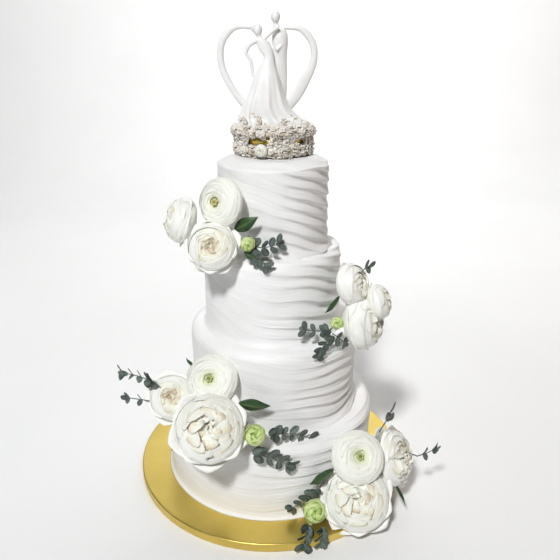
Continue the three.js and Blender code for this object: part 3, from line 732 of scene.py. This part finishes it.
# Petals that hug a flattened ball: how many, base and rim angle from the axis, how far the rim
# stands off, how pointed, ruffle, width over an even share, how much the sides cross.
DOME_LAYERS = {
    "garden": (
        (5, 82, 63, 0.022, 1.1, 0.012, 1.25, 0.012), (5, 78, 48, 0.026, 1.2, 0.014, 1.25, 0.014),
        (4, 68, 35, 0.034, 1.4, 0.02, 1.25, 0.02), (5, 58, 28, 0.06, 1.5, 0.035, 1.05, 0.06),
        (4, 52, 21, 0.08, 1.5, 0.04, 1.0, 0.08), (4, 46, 14, 0.08, 1.5, 0.045, 1.0, 0.08),
        (3, 40, 8, 0.07, 1.5, 0.045, 0.95, 0.07), (3, 34, 2, 0.04, 1.5, 0.03, 1.0, 0.05),
    ),
    "goblet": (
        (3, 150, 92, 0.01, 1.2, 0.012, 1.35, 0.010), (3, 140, 64, 0.02, 1.2, 0.014, 1.4, 0.012),
        (3, 120, 46, 0.03, 1.3, 0.016, 1.4, 0.014), (3, 90, 36, 0.04, 1.4, 0.018, 1.3, 0.02),
        (4, 60, 28, 0.06, 1.5, 0.03, 1.1, 0.05), (4, 52, 20, 0.07, 1.5, 0.04, 1.1, 0.06),
        (3, 46, 12, 0.07, 1.5, 0.04, 1.05, 0.06), (3, 38, 4, 0.05, 1.5, 0.03, 1.0, 0.05),
    ),
    "cup": (
        (4, 150, 90, 0.00, 1.5, 0.010, 1.3, 0.006), (3, 140, 70, 0.03, 1.6, 0.012, 1.35, 0.014),
        (3, 110, 53, 0.035, 1.7, 0.012, 1.35, 0.016), (3, 90, 41, 0.035, 1.8, 0.014, 1.35, 0.016),
        (4, 70, 30, 0.025, 1.6, 0.02, 1.2, 0.014), (4, 62, 26, 0.025, 1.6, 0.022, 1.2, 0.016),
        (4, 56, 22, 0.025, 1.6, 0.024, 1.2, 0.018), (4, 50, 18, 0.025, 1.6, 0.024, 1.2, 0.02),
        (3, 46, 13, 0.025, 1.6, 0.024, 1.2, 0.02), (3, 42, 9, 0.025, 1.6, 0.024, 1.1, 0.02),
        (3, 38, 4, 0.02, 1.6, 0.02, 1.0, 0.02),
    ),
    "bud": (
        (4, 168, 62, 0.10, 1.3, 0.04, 1.3, 0.04), (3, 150, 44, 0.10, 1.4, 0.04, 1.3, 0.05),
        (3, 110, 28, 0.09, 1.5, 0.04, 1.2, 0.05), (3, 70, 15, 0.07, 1.5, 0.04, 1.1, 0.05),
        (3, 52, 5, 0.05, 1.5, 0.04, 1.1, 0.05), (2, 44, 1, 0.02, 1.5, 0.02, 1.0, 0.04),
    ),
}
# The balls they hug: width, height above and below the middle, dip at the crown.
DOMES = {
    "garden": (0.97, 0.54, 0.54, 0.14), "goblet": (1.0, 0.76, 0.60, 0.24),
    "cup": (0.96, 0.55, 0.52, 0.17), "bud": (0.94, 0.86, 0.96, 0.26),
}
# How quickly petals warm towards the middle along their rims, and how much their bases darken and
# warm: a little as the heart's own tint, and on the inner layers mostly as painted shade down in the
# hollows.
HEARTS = {"garden": (0.003, 0.17), "goblet": (0.005, 0.15), "cup": (0.008, 0.14), "bud": (0.02, 0.2)}
# Petals that stand folded round a rose's heart: the radius of each ring and how many it has.
FOLDS = {
    "garden": ((0.40, 4), (0.29, 3), (0.18, 3), (0.08, 2)),
    "goblet": ((0.38, 3), (0.27, 3), (0.16, 2), (0.07, 2)),
    "cup": ((0.42, 5), (0.36, 5), (0.30, 4), (0.24, 4), (0.18, 4), (0.12, 3), (0.06, 2)),
}
# How warm the folds are along their rims, and how high they reach over the middle.
FOLD_WARMTH = {"garden": 0.04, "goblet": 0.12, "cup": 0.3}
HIGH_FOLDS = {"garden": 0.425, "goblet": 0.62, "cup": 0.37}
# A bud's sepals: their middle line, base to tip.
SEPAL = ((0.05, -1.0), (0.6, -1.08), (0.98, -0.7), (1.06, -0.3))


class Head(Shape):
    """A flower head in the making: a shape with a middle, a radius, axes and draws of its own."""

    def __init__(self, size, place, look, seed, offset=0.0):
        super().__init__(offset)
        self.size, self.centre = size, polar(*place)
        self.rng = np.random.default_rng(seed)
        self.axes = axes_along(direction(*look))

    def ball(self, ahead, radii, sides, heart):
        centre = self.centre + self.axes[2] * self.size * ahead
        add_ball(self, centre, np.array(radii) * self.size, self.axes, sides, heart)


def bezier_line(points):
    """A petal's middle line, base to rim, as (out, high) in head radii."""
    t = np.linspace(0, 1, LINE_STEPS)[:, None]
    p0, p1, p2, p3 = (np.array(point, float) for point in points)
    return p0 * (1 - t) ** 3 + 3 * p1 * t * (1 - t) ** 2 + 3 * p2 * t**2 * (1 - t) + p3 * t**3


def dome_line(base, rim, scale, wide=1.0, high=0.60, low=0.54, dip=0.12):
    """A middle line that hugs a flattened ball between two angles from its axis, in degrees."""
    angle = np.radians(np.linspace(base, rim, LINE_STEPS))
    rise = np.where(angle < math.pi / 2, high, low) * np.cos(angle)
    hollow = dip * bell(angle / 0.32)
    return np.stack([np.sin(angle) * scale * wide, (rise - hollow) * scale - 0.02], -1)


def add_petal(
    head, line, at, half, grid=(12, 13), blunt=0.25, point=2.0, ruffle=0.015, waves=None,
    flare=0.03, lap=0.03, roll=0.02, heart=0.0, deep=0.2, thick=0.4, tint=None,
):
    """One petal: its middle line swept round the head's axis by its half width, in degrees.
    Its sides lap over and under its neighbours along the petal's own normal. waves gives the
    least number of ruffles and the range above it to draw from."""
    count, phase = 4, 0
    if waves:
        count, phase = waves[0] + waves[1] * head.rng.random(), TAU * head.rng.random()
    v, u = table_of(np.linspace(0, 1, grid[0]), np.linspace(-1, 1, grid[1]))
    edge = np.abs(u)
    reach = v * (1 - blunt * edge**point * smooth(1.3 * v))
    slope = np.gradient(line, axis=0)
    slope /= np.linalg.norm(slope, axis=1, keepdims=True)
    steps = np.linspace(0, 1, len(line))
    out, high, run, rise = (np.interp(reach, steps, row) for row in (*line.T, *slope.T))
    wave = ruffle * np.sin(count * u + phase) * v**3
    push = lap * u * smooth(2 * v) + wave + flare * edge**3 * v**2 + roll * v**8
    out, high = out + push * rise, high - push * run
    widen = smooth(0.25 + 1.5 * v) * (1 - 0.15 * smooth((v - 0.7) * 3.4))
    local = round_axis(out, math.radians(at) + u * math.radians(half) * widen, high) * head.size
    # The colour key runs from heart at the rim to heart + deep at the base: partly the flower's own
    # warmer heart, partly painted shade where the base lies down in the hollows under other petals.
    tint_and_shade = tint(out, v) if tint else heart + deep * (1 - v) ** 1.3
    add_sheet(head, head.centre + local @ head.axes, thick, np.clip(tint_and_shade, 0, 1))


def ranunculus_tint(out, v):
    """Creamy petals that turn lime towards the eye, paler along their rims."""
    middle = smooth((0.55 - out) / 0.42)
    return 0.10 * (1 - v) + middle * (0.66 - 0.24 * v) + 0.34 * smooth((0.24 - out) / 0.14)


def make_ranunculus(name, size, place, look, spin, number):
    head = Head(size, place, look, 100 + number)
    for layer, (count, base, rim) in enumerate(RANUNCULUS_LAYERS):
        snug = 1 - 0.007 * min(layer, 4) - 0.022 * max(layer - 4, 0)
        for k in range(count):
            jitter = head.rng.uniform(-1, 1, 3)
            add_petal(
                head, dome_line(base, rim + 2.5 * jitter[0], snug),
                spin + 360 * (k + 0.41 * layer) / count + 7 * jitter[1], 1.25 * 180 / count,
                grid=(11, 15) if layer < 5 else (8, 11), blunt=0.12 + 0.05 * jitter[2],
                point=2.4, ruffle=0.006, waves=(5, 3), flare=0.0, lap=0.004 if layer < 4 else 0.009,
                roll=0.0 if layer < 4 else 0.016, thick=0.35, tint=ranunculus_tint,
            )
    eye = head.centre + head.axes[2] * size * 0.36
    for k in range(6):
        turn = TAU * (k + 0.3) / 6
        spot = eye + np.array([math.cos(turn), math.sin(turn), 0.3]) * 0.10 * size @ head.axes
        add_ball(head, spot, np.array([0.06, 0.06, 0.10]) * size, head.axes, 8, 0.78)
    head.ball(0.36, (0.13, 0.13, 0.10), 10, 1.0)
    head.ball(0, (0.70, 0.70, 0.36), 20, 0.5)
    kind = "golden" if name == "top_ranunculus" else "ranunculus"
    head.piece("bloom_" + name, kind, name)


def add_folds(head, kind):
    """Petals that stand folded round the heart, in rings that grow narrower and warmer."""
    for ring, (radius, count) in enumerate(FOLDS[kind]):
        for k in range(count):
            jitter = head.rng.uniform(-1, 1, 6)
            top = HIGH_FOLDS[kind] + 0.12 * radius + 0.03 * jitter[0]
            wide = radius * (1 + 0.09 * jitter[5])
            line = bezier_line(
                ((0.7 * wide, 0.05), (1.15 * wide, 0.15), (1.2 * wide, top - 0.14), (0.9 * wide, top))
            )
            add_petal(
                head, line, 360 * (k + 0.37 * ring) / count + 20 * jitter[1],
                (1.12 + 0.2 * jitter[2]) * 180 / count, grid=(9, 11), blunt=0.24, point=1.6,
                ruffle=0.035, waves=(2, 2), flare=0.035 * jitter[3],
                lap=0.05 * (1 + 0.6 * jitter[4]), roll=0.03,
                heart=FOLD_WARMTH[kind] + 0.02 * ring, deep=0.3, thick=0.7,
            )


def add_saucers(head, spin):
    for layer, points in enumerate(SAUCERS):
        for k in range(5):
            jitter = head.rng.uniform(-1, 1, 5)
            bend = np.array(points)
            bend[3] += (0.03 * jitter[0], 0.04 * jitter[1])
            add_petal(
                head, bezier_line(bend), spin + 72 * (k + 0.5 * layer) + 8 * jitter[3], 46,
                grid=(13, 15), blunt=0.23, point=1.1, ruffle=0.016 * (1 + 0.4 * jitter[4]),
                waves=(3, 3), flare=0.0, roll=0.01, deep=0.16,
            )


def add_dome_petals(head, kind, spin):
    """Broad petals closed over each other, whose rims stand off a little more towards the middle."""
    wide, high, low, dip = DOMES[kind]
    # The second heart number darkens and warms the petals' bases: a slight warm tint on every layer,
    # and much more inwards as painted shade down in the hollows between the inner petals.
    rim_warmth, hollow_tint_and_shade = HEARTS[kind]
    for layer, row in enumerate(DOME_LAYERS[kind]):
        count, base, rim, roll, point, ruffle, share, lap = row
        for k in range(count):
            jitter = head.rng.uniform(-1, 1, 6)
            tilt = rim + (5 if rim > 30 else 3) * jitter[0]
            add_petal(
                head, dome_line(base, tilt, 1 - 0.012 * layer, wide, high, low, dip),
                spin + 360 * (k + 0.43 * layer) / count + 11 * jitter[1],
                (share + 0.12 * jitter[2]) * 180 / count, grid=(12, 15) if rim > 40 else (9, 12),
                blunt=0.20 + 0.06 * jitter[3], point=point, ruffle=ruffle,
                waves=(2.5, 3), flare=0.02 * jitter[4], roll=roll * (1 + 0.5 * jitter[4]),
                heart=rim_warmth * layer**2 * (rim < 36), lap=lap * (1 + 0.4 * jitter[5]),
                deep=0.14 + hollow_tint_and_shade * layer * (rim < 40),
            )


def make_rose(name, kind, size, place, look, spin, number):
    head = Head(size, place, look, 200 + number)
    add_saucers(head, spin)
    add_dome_petals(head, kind, spin)
    add_folds(head, kind)
    # A beige ball fills the middle under the folds: partly the heart's own colour, partly painted
    # shade at the bottoms of the gaps between the folds.
    head.ball(0, (0.70, 0.70, 0.30), 24, 0.5)
    head.piece("bloom_" + name, "rose", name)


def make_flowers():
    for number, (name, kind, size, place, look, spin) in enumerate(FLOWERS):
        if kind == "ranunculus":
            make_ranunculus(name, size, place, look, spin, number)
        else:
            make_rose(name, kind, size, place, look, spin, number)


def make_buds():
    """Half-open lime-green buds, each with sepals at its stem."""
    for number, (name, size, place, look) in enumerate(BUDS):
        head = Head(size, place, look, 300 + number)
        add_dome_petals(head, "bud", 40 * number)
        for k in range(5):
            add_petal(
                head, bezier_line(SEPAL), 72 * k, 17, grid=(8, 5), blunt=0.75, point=1.2,
                flare=0, lap=0, heart=0.95, deep=0.0, thick=0.5,
            )
        head.ball(-0.1, (0.6, 0.6, 0.62), 14, 0.9)
        head.piece("bloom_" + name, "bud", name)


# ---- Leaves and eucalyptus ----

# Leaves crowded round a sprig's foot: how far along its stem, and how far to the side.
BASE_LEAVES = ((0.0, 1), (0.09, -1), (0.0, 0.4), (0.05, -0.45), (0.13, 1.3))


def add_root(shape, name, foot, ahead, heart):
    """The stem that runs a piece back into the flower that carries it."""
    if name in ROOTS:
        root, foot = polar(*ROOTS[name]), foot + (ahead - foot) * 0.06
        line = [root, (root + foot) / 2, foot]
        add_tube(shape, line, lambda t: (STEM_RADIUS * 0.8,) * 2, 10, 8, UP, heart)


def make_leaf(name, base, tip, width):
    """A thin leaf folded along its rib, with a pale rib and a pointed tip."""
    base, tip = polar(*base), polar(*tip)
    arch = 0.12 * np.linalg.norm(tip - base)
    along = unit(tip - base)
    across = unit(np.cross(unit([base[0] + tip[0], base[1] + tip[1], 0]), along))
    face = unit(np.cross(along, across))
    t, u = table_of(np.linspace(0.001, 0.999, 22), np.linspace(-1, 1, 13))
    edge, belly = np.abs(u), np.sin(math.pi * t)
    reach = 0.5 * width * np.sin(math.pi * t**0.8)
    # Arched along its length and folded along its rib, then waved at its edge and veined.
    lift = arch * belly - 0.35 * reach * edge**1.3
    lift = lift + edge**2 * 0.8 * np.sin(9 * t + np.sign(u)) * belly
    lift = lift + 0.12 * np.sin(t * 60 + 5 * edge) * (1 - edge) * belly
    points = base + t[..., None] * (tip - base)
    points = points + (u * reach)[..., None] * across + lift[..., None] * face
    heart = 0.9 * bell(u / 0.10) * (1 - 0.6 * t)
    shape = Shape()
    add_sheet(shape, points, 0.7, heart, np.stack([edge * 0.5 + t * 0.4, t - 0.5 * edge], -1))
    add_root(shape, name, base, tip, 0.3)
    shape.piece("blade_" + name, "leaf", name)


def add_round_leaf(shape, centre, long, broad, normal, half, half_width, bend, heart):
    """A eucalyptus leaf: a thin round disc, dished along its rib."""
    t, u = table_of(np.linspace(-0.995, 0.995, 9), np.linspace(-1, 1, 7))
    reach = half_width * np.sqrt(1 - np.abs(t) ** 2.2)
    lift = bend * half * (t**2 - 0.4) + 0.22 * reach * np.abs(u)
    points = centre + (t * half)[..., None] * long + (u * reach)[..., None] * broad
    add_sheet(shape, points + lift[..., None] * normal, 0.55, heart + 0.6 * bell(u / 0.22))


def make_sprig(number, name, places, pairs, leaf_length):
    points = [polar(*place) for place in places]
    outward = unit([points[1][0], points[1][1], 0])
    shape = Shape()
    add_tube(shape, points, lambda t: (STEM_RADIUS * (1 - 0.45 * t) * 0.8,) * 2, 14, 8, UP, 0.5)
    add_root(shape, name, points[0], points[1], 0.5)

    def leaf(t, side, item):
        tangent = curve_tangent(points, min(t, 1))
        across = unit(np.cross(outward, tangent)) * side
        long = unit(across + tangent * (1 if side == 0 else 0.7))
        short = unit(np.cross(outward, long))
        tilt = 0.9 * (draw(number, item) - 0.5)
        normal = unit(unit(np.cross(long, short)) + short * tilt)
        broad = unit(np.cross(normal, long))
        twist = 0.7 * (draw(item + 3, number + 5) - 0.5)
        cosine, sine = math.cos(twist), math.sin(twist)
        normal, broad = normal * cosine + broad * sine, broad * cosine - normal * sine
        half = 0.5 * leaf_length * (0.85 + 0.3 * draw(item, number))
        reach = half + 0.3 * STEM_RADIUS if side else -0.8 * half
        centre = curve_point(points, min(t, 1)) + long * reach
        bend = 0.3 * (draw(item + 7, number) - 0.5)
        plump = 0.58 + 0.16 * draw(item + 1, number + 2)
        shade = 0.7 * draw(item + 2, number + 9) - 0.15
        add_round_leaf(shape, centre, long, broad, normal, half, plump * half, bend, shade)

    for pair in range(pairs):
        t = (pair + 0.6) / (pairs + 0.3)
        leaf(t, 1, 2 * pair)
        leaf(t + 0.02, -1, 2 * pair + 1)
    leaf(1, 0, 2 * pairs)
    if pairs > 2:
        for item, (t, side) in enumerate(BASE_LEAVES, 40):
            leaf(t, side, item)
    shape.piece("leaves_" + name, "eucalyptus", name)


def make_greens():
    for leaf in LEAVES:
        make_leaf(*leaf)
    for number, sprig in enumerate(SPRIGS):
        make_sprig(number, *sprig)


# ---- Topper (mm from the middle of its underside) ----

# Stations up a figure: x, y, z, half width, half depth.
GROOM_BODY = [
    (6, 8, 34.5, 9.5, 7), (7, 8, 62, 10, 6.5), (8, 7, 96, 10, 6), (8.5, 6, 124, 9, 7),
    (8.5, 4.4, 142, 10.2, 8), (7, 4.8, 153, 9, 6.6), (4, 5.5, 158, 4, 3.8), (3, 5, 163, 3, 3),
]
GOWN = [
    (-0.6, -8, 34.5, 45, 22), (-0.8, -8, 41, 44.6, 21.5), (-6, -8, 48, 37.5, 19),
    (-10, -8, 60, 30, 17), (-9.4, -7, 78, 22.5, 14.5), (-8.6, -6, 96, 16.5, 11.5),
    (-7.5, -5, 110, 10.5, 8), (-6, -5, 121, 6.5, 5.5), (-9.8, -4.5, 130, 8.8, 5.5),
    (-13.6, -4, 139, 8.2, 5), (-17, -4, 144, 4, 3.4), (-19, -4, 150, 2.8, 2.8),
]
# How finely a figure's overlapping parts melt together, and how often that skin is evened.
MELT_VOXEL = 0.8
MELT_ROUNDS = 3
# The arms: places along each.
SLEEVE = ((14, 3, 149), (12.5, 0, 139), (4, -3, 129))
HANGING_ARM = [(-20, 141), (-31, 134.5), (-34.5, 126), (-29, 116), (-26, 97)]
EMBRACING_ARM = [(-16, 139), (-6, 147.5), (7, 157.5)]
HEART_LEFT = [(-12, 36), (-40, 62), (-56, 84), (-68, 112), (-66, 139), (-50, 156), (-27, 156)]
HEART_RIGHT = [(-2, 36), (22, 62), (39, 88), (52, 114), (51, 137), (36, 154), (14, 156)]
# The garlands' rings: distance outside the foot, height, half width, half height, blossoms.
UPPER_WREATH = (4.6, 30.5, 3.6, 4, 290)
LOWER_WREATH = (3.6, 7.4, 3, 5.6, 300)
# Where blossoms of the lower garland climb over the band: from and to azimuth, how many.
CLIMBERS = ((-178, -131, 90), (-95, -54, 90), (-37, -24, 26), (-12, 40, 60))
BLOSSOM_SHARE = 0.75
BLOSSOM_SIZES = (2.9, 4.6)
PEARL_RADII = (0.9, 1.5)
SATIN_ROSE = {"azimuth": -106, "stand_off": 12.4, "height": 11, "size": 8, "seed": 77}


def add_loft(shape, stations, rows, sides, fold_at=None):
    """A skin over stations, taken smoothly at even steps along their list."""
    angle = turns_round(sides)
    rings = []
    for k in range(rows):
        x, y, z, wide, deep = curve_point(stations, k / (rows - 1))
        fold = 1 + (fold_at(angle, z) if fold_at else 0 * angle)
        across, back = x + wide * fold * np.cos(angle), y + deep * fold * np.sin(angle)
        rings.append(np.stack([across, back, angle * 0 + z], -1))
    add_rings(shape, rings)


def gown_folds(angle, z):
    """Long folds that deepen towards the hem."""
    depth = 0.07 * float(smooth((118 - z) / 70))
    swing = 0.5 * math.sin(z / 30)
    return depth * (np.cos(9 * angle + swing) + 0.5 * np.cos(17 * angle - swing)) - 0.2 * depth


def make_figure(shape, name, node):
    """Makes the piece and melts its overlapping parts into one skin, like a cast figure."""
    thing = shape.piece(name, "porcelain", node)
    remesh = thing.modifiers.new("melt", "REMESH")
    remesh.mode = "VOXEL"
    remesh.voxel_size = MELT_VOXEL * MM
    remesh.use_smooth_shade = True
    even = thing.modifiers.new("even", "SMOOTH")
    even.factor = 0.5
    even.iterations = MELT_ROUNDS
    graph = bpy.context.evaluated_depsgraph_get()
    mesh = bpy.data.meshes.new_from_object(thing.evaluated_get(graph))
    thing.modifiers.clear()
    old, thing.data = thing.data, mesh
    bpy.data.meshes.remove(old)


def make_groom(offset):
    shape = Shape(offset)
    add_loft(shape, GROOM_BODY, 40, 28)
    add_ball(shape, np.array([2.8, 4.5, 168.5]), (6, 6.6, 7.3), sides=24)
    add_tube(shape, SLEEVE, lambda t: (3.2 - t, 3.2 - t), 10, 10, BACK)
    make_figure(shape, "groom_figure", "topper_groom")


def make_bride(offset):
    shape = Shape(offset)
    add_loft(shape, GOWN, 60, 110, gown_folds)
    add_ball(shape, np.array([-19.6, -4, 153.0]), (5.8, 6.2, 7.6), sides=24)
    add_ball(shape, np.array([-23.6, -0.5, 154.5]), (4.6, 5, 4.6), sides=20)
    hanging = [(x, -5.0, z) for x, z in HANGING_ARM]
    embracing = [(x, -4 - 0.1 * (x + 16), z) for x, z in EMBRACING_ARM]
    for arm, steps in ((hanging, 24), (embracing, 16)):
        add_tube(shape, arm, lambda t: (3 * (1 - 0.3 * t),) * 2, steps, 12, BACK)
    make_figure(shape, "bride_figure", "topper_bride")


def make_heart(offset, side, places, broad_foot):
    def size_at(t):
        swell = 1 + broad_foot * math.exp(-(((t - 0.27) / 0.16) ** 2))
        return 3, 4.4 * swell * min(1, 0.45 + 2.4 * (1 - t))

    shape = Shape(offset)
    add_tube(shape, [(x, HEART_DEPTH, z) for x, z in places], size_at, 60, 20, BACK)
    shape.piece("heart_ribbon_" + side, "porcelain", "topper_heart_" + side)


def add_floret(shape, centre, normal, size, rng):
    """A tiny five-petalled blossom with a darker eye."""
    axes = axes_along(normal + rng.normal(0, 0.3, 3))
    turn = TAU * rng.random()
    shade = 0.3 * rng.random() ** 3
    heart = np.array([0.3, 0.03, 0, 0, 0, 0.03, 0.3, 0.12]) + shade
    faces = [(7, i, i + 1) for i in range(6)] + [(7, 6, 0)]
    faces += [(15, 8 + i + 1, 8 + i) for i in range(6)] + [(15, 8, 14)]
    faces += [(i, 8 + i, 9 + i, i + 1) for i in range(6)] + [(6, 14, 8, 0)]
    for k in range(5):
        angle = turn + TAU * k / 5
        way = np.array([math.cos(angle), math.sin(angle), 0.22 + 0.2 * rng.random()])
        cross = np.array([-math.sin(angle), math.cos(angle), 0])
        local = np.array([
            cross * 0.14, way * 0.5 + cross * 0.42, way * 0.92 + cross * 0.3, way * 1.04,
            way * 0.92 - cross * 0.3, way * 0.5 - cross * 0.42, -cross * 0.14,
            way * 0.55 - np.array([0, 0, 0.14]),
        ]) * size
        back = local - np.array([0, 0, 0.12 * size])
        shape.add([centre + local @ axes, centre + back @ axes], faces, [heart, heart])
    add_ball(shape, centre + normal * size * 0.1, np.full(3, size * 0.17), sides=6, heart=0.5)


def scatter(shape, spots, rng):
    """Blossoms, and now and then a pearl, at a list of (place, outward direction)."""
    for place, outward in spots:
        if rng.random() < BLOSSOM_SHARE:
            add_floret(shape, place + outward * 0.5, outward, rng.uniform(*BLOSSOM_SIZES), rng)
        else:
            pearl = np.full(3, rng.uniform(*PEARL_RADII))
            add_ball(shape, place + outward * 0.7, pearl, sides=8, heart=0.3 * rng.random())


def add_wreath(shape, wreath, rng):
    """A ring's lumpy core, tinted brown as painted shade for the gaps between its blossoms, and
    places spread at random over its outside and top.
    """
    stand_off, z, half_wide, half_high, amount = wreath
    radius, turns = TOPPER["radius"] + stand_off, 120
    a, b = table_of(turns_round(turns), turns_round(12))
    lump = 0.7 * lattice_noise(a * turns / TAU / 2, b * 2, b * 0, turns // 2, 5)
    out = radius + (half_wide - 0.7 + lump) * np.cos(b)
    # The core's brown heart value is painted shade seen in the gaps between blossoms.
    add_hoop(shape, round_axis(out, a, z + (half_high - 0.9 + lump) * np.sin(b)), 0.6)
    spots = []
    for _ in range(amount):
        turn = TAU * rng.random()
        tilt = rng.uniform(-1.3, 1.7)
        reach = radius + (half_wide + rng.uniform(-0.6, 1.0)) * math.cos(tilt)
        high = z + (half_high + rng.uniform(-0.6, 1.0)) * math.sin(tilt)
        outward = unit(round_axis(math.cos(tilt), turn, math.sin(tilt)))
        spots.append((round_axis(reach, turn, high), outward))
    return spots


def make_garlands(offset):
    """Two rings of tiny blossoms round the foot, joined over the band and up the gown's hem."""
    radius, height = TOPPER["radius"], TOPPER["height"]
    rng = np.random.default_rng(401)
    shape = Shape(offset)
    spots = add_wreath(shape, UPPER_WREATH, rng)
    for _ in range(90):
        turn = math.radians(rng.uniform(-165, -15))
        place = round_axis(rng.uniform(33, 45.5), turn, height + 1.2 + 1.5 * rng.random())
        spots.append((place, unit(round_axis(0.5, turn, 1))))
    for _ in range(20):
        z = 37 + 15 * rng.random() ** 1.6
        station = np.interp(z, [row[2] for row in GOWN[:5]], np.arange(5))
        x, y, _, wide, deep = curve_point(GOWN, station / (len(GOWN) - 1))
        turn = math.radians(rng.uniform(-168, -12))
        place = np.array([x + wide * math.cos(turn), y + deep * math.sin(turn), z])
        spots.append((place, unit((math.cos(turn) * deep, math.sin(turn) * wide, 8))))
    scatter(shape, spots, rng)
    shape.piece("blossoms_upper", "floret", "topper_florets_upper")

    shape = Shape(offset)
    spots = add_wreath(shape, LOWER_WREATH, rng)
    for start, end, amount in CLIMBERS:
        for _ in range(amount):
            turn = math.radians(rng.uniform(start, end))
            reach = radius + rng.uniform(2.4, 6.2)
            outward = unit(round_axis(1, turn, 0.1))
            spots.append((outward * (reach, reach, 0) + (0, 0, rng.uniform(13, 27)), outward))
    scatter(shape, spots, rng)
    shape.piece("blossoms_lower", "floret", "topper_florets_lower")


def make_foot(offset):
    radius, height = TOPPER["radius"], TOPPER["height"]
    angle = turns_round(160)
    rings = []
    for inset, z in ((1, 0), (0, 1), (0, height / 2), (0, height - 1), (0.4, height), (8, height)):
        scallops = 0.35 * (np.abs(np.sin(20 * angle)) if inset == 0 else 0)
        rings.append(round_axis(radius - inset - scallops, angle, z))
    shape = Shape(offset)
    add_rings(shape, rings)
    shape.piece("lace_foot", "porcelain", "topper_foot")
    inner, bottom, top = radius + 0.3, BAND["bottom"], BAND["top"]
    outer = inner + BAND["thickness"]
    profile = ((inner, bottom), (outer, bottom), (outer, top), (inner, top))
    shape = Shape(offset)
    add_hoop(shape, np.stack([round_axis(out, angle, z) for out, z in profile], 1))
    shape.piece("gold_band", "gold_foil", "topper_band")


def make_satin_rose(offset):
    """A small satin ribbon rose tied to the front of the lower garland."""
    azimuth = SATIN_ROSE["azimuth"]
    place = (azimuth, TOPPER["radius"] + SATIN_ROSE["stand_off"], SATIN_ROSE["height"])
    head = Head(SATIN_ROSE["size"], place, (azimuth, 0), SATIN_ROSE["seed"], offset)
    add_dome_petals(head, "goblet", 0)
    head.ball(0, (0.48, 0.48, 0.34), 12, 0.2)
    head.piece("satin_rose", "rose", "topper_satin_rose")


def make_topper(top):
    offset = np.array([TOPPER["x"], TOPPER["y"], top + TOP_DOME["rise"] + GAP])
    make_foot(offset)
    make_garlands(offset)
    make_satin_rose(offset)
    make_groom(offset)
    make_bride(offset)
    make_heart(offset, "left", HEART_LEFT, 0)
    make_heart(offset, "right", HEART_RIGHT, 0.75)


make_camera()
make_stage()
make_lights()
make_drum()
cake_top = make_tiers()
make_flowers()
make_buds()
make_greens()
make_topper(cake_top)
